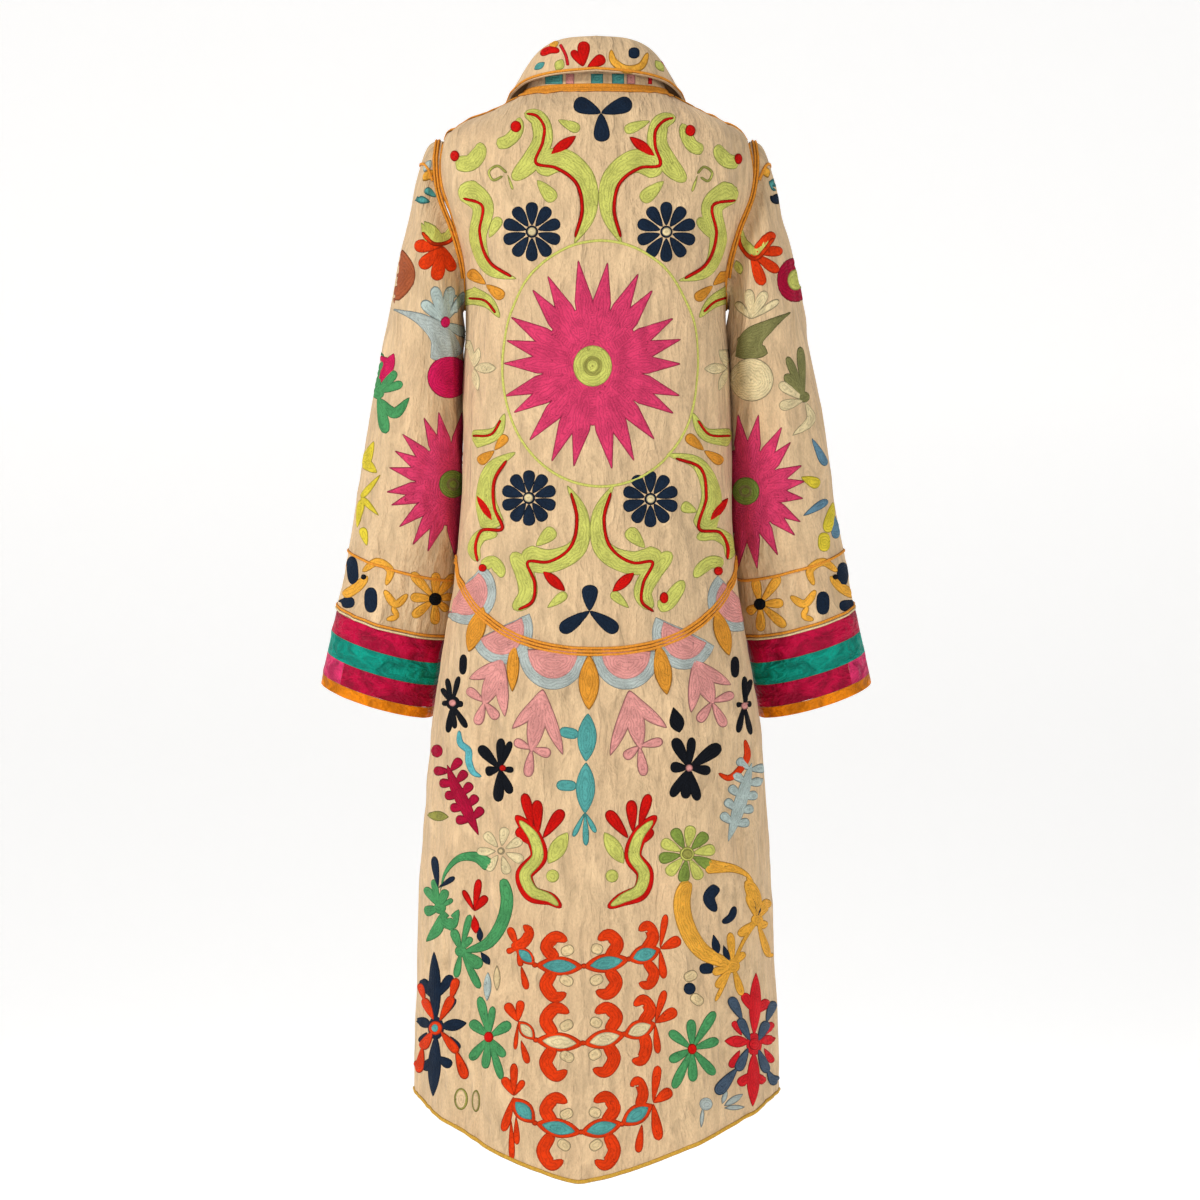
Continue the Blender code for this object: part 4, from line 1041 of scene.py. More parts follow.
def stitched(colour):
    """Applique filled with rows of chain stitch that follow its edge, with painted shade in the grooves
    between the rows and painted highlight on the stitch tops. Its dark rim is partly the sewn outline and
    partly painted shade where the piece bends down into the ground.
    """

    def make():
        s = Shader(colour + "_applique")
        place = s.cloth_place()
        edge = s.edge()
        wander = s.noise(place, 90, 2, 0.5)
        rows = s.math("MULTIPLY", edge, 2 * math.pi / STITCH_ROW)
        ripple = s.math("SINE", s.math("ADD", rows, s.math("MULTIPLY", wander, 16.0)))
        stitches = s.noise(place, 560, 2, 0.55, 0.8)
        marks = s.noise(place, 300, 1, 0.4, 1.5)
        broad = s.noise(place, 55, 2, 0.5)
        tone = s.mix(s.remap(broad, 0.3, 0.7), linear(colour, 0.84), linear(colour, 1.12))
        # painted shade in the grooves between the rows of stitch, following the bump
        tone = s.mix(s.remap(ripple, -1.0, -0.1, 0.42, 0.0), tone, linear(colour, 0.45))
        # painted highlight on the tops of the stitches, following the bump
        tone = s.mix(s.remap(stitches, 0.5, 0.72, 0.0, 0.36), tone, linear(colour, 1.5))
        tone = s.mix(s.remap(marks, 0.66, 0.76, 0.0, 0.6), tone, linear(colour, 0.25))
        # dark rim along the edge: partly the sewn outline, partly painted shade where the piece bends down
        # into the ground
        tone = s.mix(s.remap(edge, 0.35 * MM, 1.5 * MM, 0.85, 0.0), tone, linear(colour, 0.2))
        height = s.math("ADD", s.math("MULTIPLY", ripple, 0.4), s.math("MULTIPLY", stitches, 1.0))
        height = s.math("SUBTRACT", height, s.math("MULTIPLY", marks, 0.6))
        s.bump(height, 0.8, 0.9 * MM)
        return s.finish(tone, 0.8)

    return kept(colour, make)


def corded(colour):
    """Piping with painted shade in each groove and along its edges, uneven along its length, and fine
    slanting threads.
    """

    def make():
        s = Shader(colour + "_piping")
        threads = s.noise(s.cloth_place(), 520, 2, 0.5, 0.8)
        tone = s.mix(s.remap(threads, 0.35, 0.7), linear(colour, 0.82), linear(colour, 1.12))
        breaks = s.noise(s.cloth_place(), 110, 2, 0.5)
        # painted shade in the grooves between the ribs and along the piping's edges, uneven along its length
        groove = s.remap(s.edge(), 0.1 * MM, 0.75 * MM, 1.0, 0.0)
        dark = s.math("MULTIPLY", groove, s.remap(breaks, 0.3, 0.6, 0.4, 0.95))
        tone = s.mix(dark, tone, linear("brown", 0.3))
        s.bump(threads, 0.5, 0.5 * MM)
        return s.finish(tone, 0.75)

    return kept(colour + "_cord", make)


def silk(colour):
    """Smooth dyed cotton of the cuffs, crumpled along the seams, with a soft shine. Its colour is darker in
    the hollows of the crumples and lighter on their tops: painted shade and painted highlight.
    """

    def make():
        s = Shader(colour + "_cloth")
        creases = s.noise(s.cloth_place(0.5, 1), 60, 3, 0.6, 1.0)
        small = s.noise(s.cloth_place(), 150, 2, 0.5, 0.8)
        weave = s.noise(s.cloth_place(1, 0.6), 800, 2, 0.5)
        # painted shade in the hollows of the creases and painted highlight on their tops, following the bump
        tone = s.mix(s.remap(creases, 0.34, 0.66), linear(colour, 0.55), linear(colour, 1.15))
        tone = s.mix(s.remap(weave, 0.4, 0.7, 0.0, 0.2), tone, linear(colour, 0.5))
        height = s.math("ADD", creases, s.math("MULTIPLY", small, 0.3))
        height = s.math("ADD", height, s.math("MULTIPLY", weave, 0.03))
        s.bump(height, 1.0, 9 * MM)
        return s.finish(tone, 0.45)

    return kept(colour + "_silk", make)


# The coat's own creases, listed one by one: drags from the armholes, the tuck, the waist and the hem
CREASES = table(
    "across along half_width half_length height slant",
    [
        (-212, 290, 20, 110, 1.7, 0),
        (212, 290, 20, 110, 1.7, 0),
        (-118, 205, 7, 70, 1.6, 0.10),
        (-104, 250, 6, 60, -1.2, 0.16),
        (118, 205, 7, 70, 1.6, -0.10),
        (106, 255, 6, 60, -1.2, -0.16),
        (-60, 500, 6, 80, 1.0, 0.06),
        (-30, 455, 5, 60, -0.9, -0.05),
        (34, 470, 6, 80, 1.0, -0.06),
        (72, 500, 5, 70, -1.0, 0.08),
        (-40, 700, 7, 110, 1.3, 0.04),
        (-62, 760, 6, 120, -1.2, 0.05),
        (38, 690, 7, 120, 1.2, -0.05),
        (66, 800, 6, 130, -1.2, 0.03),
        (-150, 860, 7, 120, 1.4, 0.05),
        (-172, 930, 6, 110, -1.2, 0.04),
        (142, 830, 7, 130, 1.4, -0.04),
        (120, 900, 6, 120, -1.1, -0.06),
        (-20, 880, 6, 90, -1.0, 0.10),
        (16, 1060, 6, 70, 1.2, 0.04),
        (-70, 1080, 6, 60, 1.2, -0.05),
        (62, 1050, 6, 70, -1.1, 0.05),
    ],
    plain=("slant",),
)

# The sleeve's own creases. On the left sleeve across counts the other way.
DRAGS = table(
    "across along half_width half_length height slant",
    [
        (100, 160, 7, 70, 1.5, 0.2),
        (120, 250, 7, 70, -1.3, 0.1),
        (60, 330, 7, 60, 1.2, -0.1),
        (40, 100, 6, 50, 1.0, 0.3),
        (-100, 200, 7, 70, 1.4, 0.2),
        (-60, 300, 7, 60, -1.2, 0.1),
    ],
    plain=("slant",),
)

FINE = 1.0


def creases_and_puckers(seed, count, area, sizes):
    half_width, half_length, height = (tuple(v * MM for v in pair) for pair in sizes)
    return random_puckers(seed, count, area, half_width, half_length, height)


body_chart = Chart(body_ring, BODY["down"][0], BODY["down"][-1])
body_area = ((-560 * MM, 560 * MM), (-20 * MM, 1160 * MM))
body = Surface(
    body_chart,
    2.5 * MM * FINE,
    4 * MM * FINE,
    body_folds,
    list(zip(*CREASES.values()))
    + creases_and_puckers(7, 2400, body_area, ((3.2, 7.5), (14, 55), (0.5, 1.4)))
    + creases_and_puckers(11, 520, body_area, ((8, 14), (40, 120), (0.8, 2.0))),
)


def finer(first, last, count):
    return np.linspace(first, last, count * 3 - 2)


def back_outlines():
    neck_turns = finer(0, SHOULDER_ANGLE, 10)
    neck = on_body(body_chart, neck_turns, NECK_DOWN)
    hole_top = armhole(math.radians(HOLE_START))[1]
    shoulder = on_body(body_chart, SHOULDER_ANGLE, finer(NECK_DOWN, hole_top, 6))
    hole = hole_run(body_chart, HOLE_START, 180, 40)
    side = on_body(body_chart, SIDE_ANGLE, finer(HOLE_MIDDLE + HOLE_REACH, YOKE_SIDE, 8))
    turn = finer(SIDE_ANGLE, 0, 15)
    yoke = on_body(body_chart, turn, yoke_down(turn))
    right = np.concatenate([neck[:-1], shoulder[:-1], hole[:-1], side[:-1], yoke])
    upper = np.concatenate([right, mirrored(right)[1:-1]])
    low_side = on_body(body_chart, SIDE_ANGLE, finer(YOKE_SIDE, HEM_SIDE, 14))
    whole_yoke = np.concatenate([yoke * (-1, 1), yoke[::-1][1:]])
    hem_turn = finer(SIDE_ANGLE, -SIDE_ANGLE, 43)
    hem = on_body(body_chart, hem_turn, hem_down(hem_turn))
    lower = polyline(whole_yoke, low_side, hem, mirrored(low_side))
    whole_neck = np.concatenate([mirrored(neck)[:-1], neck]) + (0, 3.4 * MM)
    return upper, lower, whole_yoke, hem, whole_neck, shoulder


PANEL_STEPS = (3.2 * MM * FINE, 6 * MM * FINE)
SMALL_STEPS = (3 * MM, 3 * MM)
BINDING_IN = 1.8 * MM  # the middle of a binding or of a seam's piping lies this far from the cloth's edge


SIDES = ((-1, "left"), (1, "right"))


def build_back():
    upper, lower, yoke, hem, neck, shoulder = back_outlines()
    panel("back_upper", body, upper, ground(), "sand", PANEL_STEPS)
    panel("back_lower", body, lower, ground(), "sand", PANEL_STEPS)
    cord("yoke_piping", "yoke", body, yoke, "piping_yoke")
    cord("neck_piping", "neck", body, neck[1:-1], "piping_neck")
    cord("hem_binding", "binding", body, hem - (0, BINDING_IN), "piping_hem_back")
    for side, label in SIDES:
        line = shoulder[1:-1] * (side, 1)
        cord("shoulder_piping_" + label, "shoulder", body, line, "piping_shoulder_" + label)
        hole = hole_run(body_chart, HOLE_START + 4, 176, 60)
        cord("armhole_seam_" + label, "armhole_seam", body, (hole + (BINDING_IN, 0)) * (side, 1))


def build_fronts():
    for side, label in SIDES:
        neck = on_body(body_chart, finer(SHOULDER_ANGLE, NECK_END_ANGLE, 11), NECK_DOWN)
        front = front_line(body_chart, NECK_DOWN, HEM_SIDE + HEM_FRONT_DROP, 79)
        turn = finer(HEM_END_ANGLE, SIDE_ANGLE, 14)
        hem = on_body(body_chart, turn, hem_down(turn))
        low_side = on_body(body_chart, SIDE_ANGLE, finer(HEM_SIDE, HOLE_MIDDLE + HOLE_REACH, 21))
        hole = hole_run(body_chart, 180, 360 + HOLE_START, 46)
        hole_top = armhole(math.radians(HOLE_START))[1]
        shoulder = on_body(body_chart, SHOULDER_ANGLE, finer(hole_top, NECK_DOWN, 6))
        outline = polyline(neck[:-1], front, hem[1:], low_side, hole, shoulder) * (side, 1)
        panel("front_" + label, body, outline, ground(), "sand", PANEL_STEPS)
        edge = (front[1:-1] - (BINDING_IN, 0)) * (side, 1)
        cord("front_binding_" + label, "binding", body, edge, "piping_front_" + label)
        line = (hem[1:] - (0, BINDING_IN)) * (side, 1)
        cord("hem_binding_" + label, "binding", body, line, "piping_hem_" + label)


def ring_line(chart, along, first=-180, last=180, count=91):
    return level_line(chart, np.radians(np.linspace(first, last, count)), along)


def level_line(chart, turns, along):
    """A line round a chart at one depth."""
    at = np.full(len(turns), along)
    return np.stack([chart.across(turns, at), at], axis=1)


def tube(name, surface, start, end, material, slot, steps, first=-180, last=180):
    """A strip round the sleeve between two depths."""
    chart = surface.chart
    down = np.linspace(start, end, 12)
    sides = []
    for turn in (math.radians(last), math.radians(first)):
        sides.append(np.stack([chart.across(np.full(12, turn), down), down], axis=1))
    top = ring_line(chart, start, first, last)
    low = ring_line(chart, end, first, last)
    outline = polyline(top, sides[0], low[::-1], sides[1][::-1])
    panel(name, surface, outline, material, slot, steps)


ARMHOLE_PIPING_END = 130  # degrees round the sleeve, each side of its outer line
ARMHOLE_PIPING_DOWN = 5.5 * MM
CUFF_PIPING_UP, CREAM_PIPING_UP = 4.4 * MM, 1.2 * MM  # above the cuff's seam


def build_sleeve(side, label):
    """A sleeve with its cap, band and striped cuff. It gives its surface, for the applique."""
    chart = Chart(sleeve_ring(side), 0, CUFF_END, reach=240)
    area = ((-240 * MM, 240 * MM), (10 * MM, CUFF_END))
    drags = [(side * across, *others) for across, *others in zip(*DRAGS.values())]
    seed = 20 if side > 0 else 30
    puckers = (
        drags
        + creases_and_puckers(seed, 700, area, ((3.2, 7.5), (14, 50), (0.45, 1.3)))
        + creases_and_puckers(seed + 1, 150, area, ((7, 13), (30, 80), (0.7, 1.8)))
    )
    sleeve = Surface(chart, 2.5 * MM * FINE, 3 * MM * FINE, None, puckers)
    seam_turns = np.linspace(-CAP_ANGLE, CAP_ANGLE, 55)
    seam_along = cap_along(seam_turns)
    seam = np.stack([chart.across(seam_turns, seam_along), seam_along], axis=1)
    hole = level_line(chart, seam_turns, 0.0)
    cap_outline = np.concatenate([hole, seam[::-1][1:-1]])
    panel("shoulder_cap_" + label, sleeve, cap_outline, ground(), "sand", SMALL_STEPS)
    turns = np.radians(np.linspace(-180, 180, 91))
    outer = np.sort(np.concatenate([turns[np.abs(turns) > CAP_ANGLE + 0.02], seam_turns]))
    top_along = cap_along(outer)
    top = np.stack([chart.across(outer, top_along), top_along], axis=1)
    down = np.linspace(0, SLEEVE_SEAM, 60)
    last = np.stack([chart.across(np.full(60, math.pi), down), down], axis=1)
    first = np.stack([chart.across(np.full(60, -math.pi), down), down], axis=1)
    low = ring_line(chart, SLEEVE_SEAM)
    outline = polyline(top, last, low[::-1], first[::-1])
    panel("sleeve_" + label, sleeve, outline, ground(), "sand", PANEL_STEPS)
    tube("sleeve_band_" + label, sleeve, SLEEVE_SEAM, BAND_SEAM, ground(), "sand", PANEL_STEPS)

    cuff_area = ((-200 * MM, 200 * MM), (BAND_SEAM, CUFF_END))
    cuff_puckers = creases_and_puckers(seed + 2, 170, cuff_area, ((2.5, 6), (8, 24), (0.4, 1.1)))
    cuff = Surface(chart, 2 * MM * FINE, 2 * MM * FINE, None, cuff_puckers)
    magenta, teal, pink = silk("cuff_magenta"), silk("cuff_teal"), silk("cuff_pink")
    tube("cuff_upper_" + label, cuff, BAND_SEAM, TEAL_SEAM, magenta, "magenta", SMALL_STEPS)
    tube("cuff_teal_" + label, cuff, TEAL_SEAM, LOWER_SEAM, teal, "teal", SMALL_STEPS)
    patch = math.degrees(np.interp(PATCH_REACH, chart.arc[-10], chart.angles))
    strip = (LOWER_SEAM, BINDING_SEAM)
    tube("cuff_pink_" + label, cuff, *strip, pink, "pink", SMALL_STEPS, -patch, patch)
    turned = Chart(lambda angle, along: sleeve_ring(side)(angle + math.pi, along), *strip)
    inner_cuff = Surface(turned, 2 * MM, 2 * MM)
    rest = 180 - patch
    tube("cuff_lower_" + label, inner_cuff, *strip, magenta, "magenta", SMALL_STEPS, -rest, rest)
    tube("cuff_binding_" + label, cuff, BINDING_SEAM, CUFF_END, silk("binding"), "orange", (3 * MM, 2.5 * MM))

    over = np.radians(np.linspace(-ARMHOLE_PIPING_END, ARMHOLE_PIPING_END, 120))
    line = level_line(chart, over, ARMHOLE_PIPING_DOWN)
    cord("armhole_piping_" + label, "armhole", sleeve, line, "piping_armhole_" + label)
    cord("cap_piping_" + label, "cap", sleeve, seam[6:-6], "piping_cap_" + label)
    for name, kind, along, node in (
        ("band_piping_", "band", SLEEVE_SEAM, "piping_sleeve_" + label),
        ("cuff_piping_", "cuff", BAND_SEAM - CUFF_PIPING_UP, "piping_cuff_" + label),
        ("cuff_cream_piping_", "cuff_cream", BAND_SEAM - CREAM_PIPING_UP, None),
    ):
        cord(name + label, kind, sleeve, ring_line(chart, along)[:-1], node, True)
    return sleeve


def build_collar():
    """The stand and the fall. It gives their surfaces, for the applique."""
    made = []
    for name, ring, length, last, gap in (
        ("collar_stand", stand_ring, COLLAR_STAND, COLLAR_STAND, 3.6 * MM),
        ("collar_fall", fall_ring, COLLAR_FALL, FALL_END, 1.2 * MM),
    ):
        chart = Chart(ring, 0, length, reach=180, even=True)
        surface = Surface(chart, 2 * MM, 1 * MM)
        down = np.linspace(0, last, 20)
        turns = np.linspace(-NECK_END_ANGLE, NECK_END_ANGLE, 91)
        edge = chart.across(np.full(20, math.pi), down) - gap
        right = np.stack([edge, down], axis=1)
        top = level_line(chart, turns, 0.0)
        low = level_line(chart, turns, last)
        inside_edge = np.abs(top[:, 0]) < edge[0] - 1 * MM
        outline = np.concatenate([top[inside_edge], right, low[inside_edge][::-1], (right * (-1, 1))[::-1]])
        panel(name, surface, outline, ground(), "sand", (3 * MM, 2.4 * MM))
        made.append(surface)
    stand, fall = made
    turns = np.radians(np.linspace(-150, 150, 120))
    cord("stand_seam", "stand", stand, level_line(stand.chart, turns, 0.3 * MM))
    turns = np.radians(np.linspace(-168, 168, 120))
    line = level_line(fall.chart, turns, FALL_END - 1.6 * MM)
    cord("collar_piping", "collar", fall, line, "piping_collar")
    return made


build_back()
build_fronts()
left_sleeve = build_sleeve(-1, "left")
right_sleeve = build_sleeve(1, "right")
collar_stand, collar_fall = build_collar()


# Applique, by table. Pixels are places on the photo, and every width and radius is in millimetres.
# A leaf row has colour, form, layer, root x,y and then one or more tips as x,y,width.
# A stroke row has colour, width, form, layer and then the points x,y that it passes.
# A spot row has colour, layer, x,y, half width and half height.
# A row that starts with its first point takes what is missing from the row above it.
def numbers(word):
    return [float(part) for part in word.split(",")]


def rows_of(text, kind_words=1):
    """The rows of a table, in words. A row's kind is its first words."""
    rows = []
    for line in text.strip().splitlines():
        words = line.split()
        rows.append(words if words[0][0].isalpha() else rows[-1][:kind_words] + words)
    return rows


def sew(applique, leaves="", strokes="", spots=""):
    for colour, form, layer, root, *tips in rows_of(leaves, 3):
        for tip in tips:
            x, y, width = numbers(tip)
            applique.stroke(colour, width, form, [numbers(root), (x, y)], float(layer))
    for colour, width, form, layer, *points in rows_of(strokes, 4):
        applique.stroke(colour, float(width), form, [numbers(point) for point in points], float(layer))
    for colour, layer, centre, wide, tall in rows_of(spots, 2):
        applique.spot(colour, numbers(centre), float(wide), float(tall), float(layer))


def burst(applique, centre, wide, tall, count, disc, size):
    """A pink sunburst of long rays sewn side by side, with a ringed disc."""
    scale = applique.scale
    centre = np.asarray(centre, float)
    width = 0.66 * (wide + tall) * math.pi / count
    applique.spot("pink", centre, 0.56 * wide, 0.56 * tall)
    for tip in ray_tips(centre, wide / scale, tall / scale, count, 0.16):
        path = [centre + (tip - centre) * share for share in (0.16, 0.58, 1.0)]
        applique.stroke("pink", width, "ray", path, 0.12)
    ring = "olive" if disc == "lime" else "moss"
    for share, colour, layer in ((1, disc, 1), (0.56, ring, 1.35), (0.36, disc, 1.6), (0.18, ring, 1.8)):
        applique.spot(colour, centre, size * share, size * share * 1.06, layer)


def daisy(applique, centre, reach, petals, width, colours, heart, size, turned=0.0):
    """A flower of even petals round a ringed heart."""
    scale = applique.scale
    for k in range(petals):
        turn = math.radians(turned + 360 * k / petals)
        out = np.array([math.sin(turn), -math.cos(turn)]) * reach / scale
        path = [np.asarray(centre) + out * share for share in (0.2, 0.6, 1.0)]
        applique.stroke(colours[k % len(colours)], width, "petal", path)
    applique.spot(colours[0], centre, 1.35 * size, 1.35 * size, 0.6)
    applique.spot(heart, centre, size, size, 1.3)


upper = Applique("applique_upper_back", body)
burst(upper, (592.7, 366), 101, 118, 22, "lime", 21.7)
for x, y, reach in ((531.9, 231.7, 33), (666.3, 231.9, 33.5), (529, 498, 31), (650.4, 499, 31.5)):
    daisy(upper, (x, y), reach, 10, 14.4, ["navy"], "cream", 5)
ring_middle = body.seen((601, 363.6))[0]
cord("ring_cord", "ring", body, oval(ring_middle, 110.5 * MM, 131 * MM, 96), None, True)
sew(
    upper,
    leaves="""
navy petal 0 601,113 574,102,19 632,102,19 602,142,19
589.5,611 590,584.6,19 560,631.5,17 618,631.5,17
red leaf 0.5 550,155 576,136,12
656,157 629.5,137,12
543,571 565,591,12
634.5,572 612.5,592,12
477,495 493,521.5,10
728,498 709,521.5,10
lime petal 0 558,120 580,130,13
650,121 624,131,13
537,180 555,201,17
664,181 641,201,17
489,238 500,217,13
710,238 699,217,13
536,546 555,529,17
645,548 627,529,17
547,608 567,593,12
629,608 611,592,12
697,512 681,505,14
amber petal 0 486,284.5 468,271,14 504,298,14
713,285.5 729,271,13 695,300,13
494.5,450.5 507,435,12 478,463,13
704,450.5 686,435,13 723,463,13
cream leaf 0 474,368 497,368,13 479,347,9 478,391,9 468,336,7
727,368 704,369,13 720,345,9 719,391,9
lime petal 0 507,173 513,190,4
698,174 692,192,4
""",
    strokes="""
lime 31 scroll 0 574,244 590,212 585,178 562,160 534,168
lime 23 bean 0 512,180 532,160 543,136 537,118 524,113
red 4.2 even 1 575,238 582,208 576,183 556,168 536,163 543,142 544,126 536,116 526,114
lime 31 scroll 0 622,244 607,212 612,178 636,161 664,170
lime 23 bean 0 686,182 668,163 657,140 662,122 676,117
red 4.2 even 1 621,238 614,208 620,183 640,168 660,165 655,145 656,130 664,121 674,118
lime 15 comma 0 496,144 506,142 517,131 520,117
704,150 694,147 686,135 682,123
lime 19 comma 0 455,163 470,163 480,150 480,142
lime 17 comma 0 739,163 726,160 719,150 719,144
lime 29 scroll 0 517,279 490,270 478,240 482,204 460,185
red 4 even 1 512,277 490,262 480,232 482,205 463,198
lime 29 scroll 0 678,281 706,272 718,242 713,205 737,187
red 4 even 1 684,279 706,264 716,234 713,205 736,200
lime 22 scroll 0 500,318 489,303 468,294
red 3.4 even 1 496,313 486,301 469,298
lime 22 scroll 0 699,318 712,303 734,292
red 3.4 even 1 703,312 714,302 733,296
lime 22 scroll 0 505,413 497,432 472,440
red 3.4 even 1 501,420 492,434 473,436
lime 22 scroll 0 692,412 704,433 732,438
red 3.4 even 1 697,420 708,434 731,436
lime 31 scroll 0 567,485 582,515 577,548 550,561 520,556
lime 22 bean 0 512,552 524,572 527,596 513,610
red 4.2 even 1 571,492 577,520 570,548 548,562 528,562 535,584 532,602 518,610
lime 31 scroll 0 614,484 598,516 604,550 632,563 664,556
lime 22 bean 0 672,552 653,572 643,594 652,610
red 4.2 even 1 611,492 604,520 611,548 634,563 652,562 643,584 642,602 654,612
lime 29 scroll 0 516,452 492,468 486,500 494,530
lime 15 bean 0 498,534 481,536 474,548 478,562
red 4 even 1 507,460 495,480 495,508 502,529 482,531 476,546 478,562
lime 29 scroll 0 666,454 698,464 711,492 703,532
lime 16 bean 0 696,538 716,534 729,543 729,560
red 4 even 1 675,458 700,468 706,496 700,530 720,533 727,546 727,560
lime 17 comma 0 657,607 666,604 676,592 684,580
lime 15 comma 0 482,567 492,562 500,570 502,578
724,564 712,562 702,568 694,578
lime 3 even 0.6 507,173 497,166 489,172 493,180 503,176
697,174 704,167 712,173 708,181 700,177
""",
    spots="""
red 1 516,127 6 6.5
690,131 6 6.5
455,156 5 6
738,159 4.5 6
483,568 4.5 4.5
718,571 5 5
664,598 5 6.5
""",
)
upper.finish()

lower = Applique("applique_lower_back", body)
# Scallops under the seam: the middle of the straight edge, its turn in degrees and the reach
SCALLOPS = (
    (553, 651, 2, 39),
    (626, 652, -3, 38),
    (502, 630, 24, 35),
    (684, 634, -24, 36),
    (467, 592, 50, 33),
    (736, 600, -46, 32),
)
for x, y, turned, reach in SCALLOPS:
    for share, colour, layer in ((1.0, "mist", 0), (0.73, "blush", 0.7)):
        turn = np.radians(np.linspace(-95, 95, 30) + turned)
        outline = np.array([(x, y)]) + reach * share * np.stack([0.9 * np.sin(turn), np.cos(turn)], axis=1)
        lower.lay(outline, colour, layer)
sew(
    lower,
    leaves="""
amber leaf 0.8 589,655 589,710,23
514,641 512.4,692,14
658,644 667,695,20
484,606 469,652,20
715.5,609 729,656,18
black bean 0 463.6,654 462.6,675,9
black petal 0 452,704 447,678,7 459,676,7 441.6,688,7 441.6,703,7 463.6,704,8 448,733,8 467,728,8 455,729,7
500,769 479,746,13 501,738,11 511,741,9 485,772,12 498,802,13 511,794,11 514,770,8
blush petal 0.4 484.6,702 467,689,11 491,684,11 477,725,12 498,719,12
531.5,749 534.4,720,11 514,741,11 551,754,12 527.7,777,12
turquoise leaf 0 588,713 586,762,22
586,762 585,814,22
turquoise bean 0 579,735 559,731,13
577,786 556,785,13
turquoise petal 0 585,812 573,837,7 586,846,8 596,833,7
red petal 0.4 533,830 524,793,12
538,834 537,800,13
543,838 563,810,14
red petal 0 533,846 517,828,14
lime leaf 0 548,864 568,832,19
red petal 0.4 639,828 649,794,12
633,832 631,800,13
628,838 607,811,14
red petal 0 638,846 652,828,14
lime leaf 0 624,864 604,832,18
black bean 0 735,656 735,678,10
black petal 0 744,704 744.6,676,7 751,679,7 736,705,7 752,704,8 738,733,8 751,735,7
black drop 0 673,706 679.6,733,17
black petal 0 689,768 674,738,14 692,737,11 721,745,16 670,767,13 711,771,12 671,797,12 685,799,13 698,801,12
blush petal 0.4 712,702 704.5,684,11 734,694,11 698,722,12 725,727,12
639.4,746 636.5,722,11 663,741,11 624,758,12 644,776,12
olive leaf 0 427,815 449,817,12
leaf_green bean 0 455,789 448,768,6
""",
    strokes="""
sky 8.5 bean 0 459,730 461,744 468,750 469,762 474,773 482,777
orange_red 8.5 bean 0 745,739 747,757 741,768 728,778 718,773
red 20 bean 0 515,815 533,836 539,856 524,876 531,893 552,900 562,908
lime 13.5 bean 0.8 519,820 534,838 538,856 525,876 532,891 551,899 559,906
red 20 bean 0 657,815 639,836 633,856 645,874 641,891 621,900 607,908
lime 13.5 bean 0.8 653,820 638,838 634,856 644,874 640,889 622,899 610,906
green 17 horn 0 440,892 446,872 460,858 476,857 492,868
green 15 comma 0 503,878 507,900 501,925 488,943 464,952
green 13 leaf 0 442,912 438,928 426,942
green 15 leaf 0 441,909 450,924 459,909
green 4 even 0 440,908 450,926 461,951
gold 19 horn 0 757,892 748,876 735,869 718,867 704,866
gold 12 leaf 0 746,876 753,888 757,902 757,918
gold 20 comma 0 688,880 682,900 686,925 700,949 735,967
gold 5 even 0 733,966 742,944 757,920
navy 14 comma 0 717.7,886 709,897 716,912
navy 9 bean 0 735,906 731,917 722,923
""",
    spots="""
blush 1 453,703 4 4
black 0 453,703 8 8
magenta 0 437,751 6.5 7.5
lime 0 552.6,876 7.5 7.5
612,876 7.5 7.5
green 0 440,908 7 7
461,951 7 7
blush 1 744,706 3.5 4
689,768 4 4
gold 0 733,966 8 8
757,920 7 7
navy 0 689.6,988.6 7 7
red 1 503,768 3.5 3.5
""",
)
daisy(lower, (501, 851), 27, 7, 12, ["cream"], "pale", 3, 10)
daisy(lower, (687, 854), 32, 10, 14, ["lime", "leaf_green"], "olive", 6, 8)
sew(
    lower,
    leaves="""
green petal 0 440,908 425,887,10 433,879,8 446,889,11 453,899,7 424,912,13
461,951 453,929,11 470,914,9 472,937,9 482,967,15 480,989,10 456,978,9
navy petal 0 438,888 434,856,9 455,877,7
navy drop 0 480,926 480,942,8
480,951 490,965,9
red petal 0.3 474.5,911 463,890,7 487,896,10 479,879,9
red drop 0 474,914 476,934,10
gold petal 0 733,966 745,952,9 712,973,11 716,988,11 742,996,10 715,1002,6 730,932,10
757,920 747,879,12 769,899,12 767,927,11 769,958,9 738,936,11 747,894,9
navy petal 0 757,920 752,893,7 762,905,7
navy drop 0 713,933 718,955,10
723,944 729,962,8
navy bean 0 699,969 714,968,13
""",
)
# Bellflowers: two curved lobes and a middle petal from one tip
BELLS = """
503,658 469,679 505,717 485,702
543,689 512,729 563,755 532,748
694,659 731,685 691,713 712,701
629,690 610,756 667,728 640,745
"""
for row in BELLS.split("\n")[1:-1]:
    root, one, other, middle = (np.array(numbers(point)) for point in row.split())
    for tip, far in ((one, other), (other, one)):
        bend = (root * 2 + tip) / 3 + (far - tip) * 0.06
        lower.stroke("blush", 15, "leaf", [root, bend, tip], 0.4)
    lower.stroke("blush", 21, "leaf", [root, middle + (middle - root) * 0.1], 0.2)
# Feathered leaves at the sides: a curved vein with leaflets on both sides
FEATHERS = """
magenta 447,764 454,784 465,806 479,836
ice 752,762 744,790 737,814 728,842
"""
for colour, *points in rows_of(FEATHERS):
    path = np.array([numbers(point) for point in points])
    lower.stroke(colour, 15, "leaf", path)
    run = (path[-1] - path[0]) / np.linalg.norm(path[-1] - path[0])
    for share in (0.1, 0.27, 0.44, 0.61, 0.78):
        root = path[0] + (path[-1] - path[0]) * share
        for hand in (-1, 1):
            out = np.array([-run[1], run[0]]) * hand * 15 - run * 7
            lower.stroke(colour, 11, "petal", [root, root + out * 0.6, root + out], 0.2)

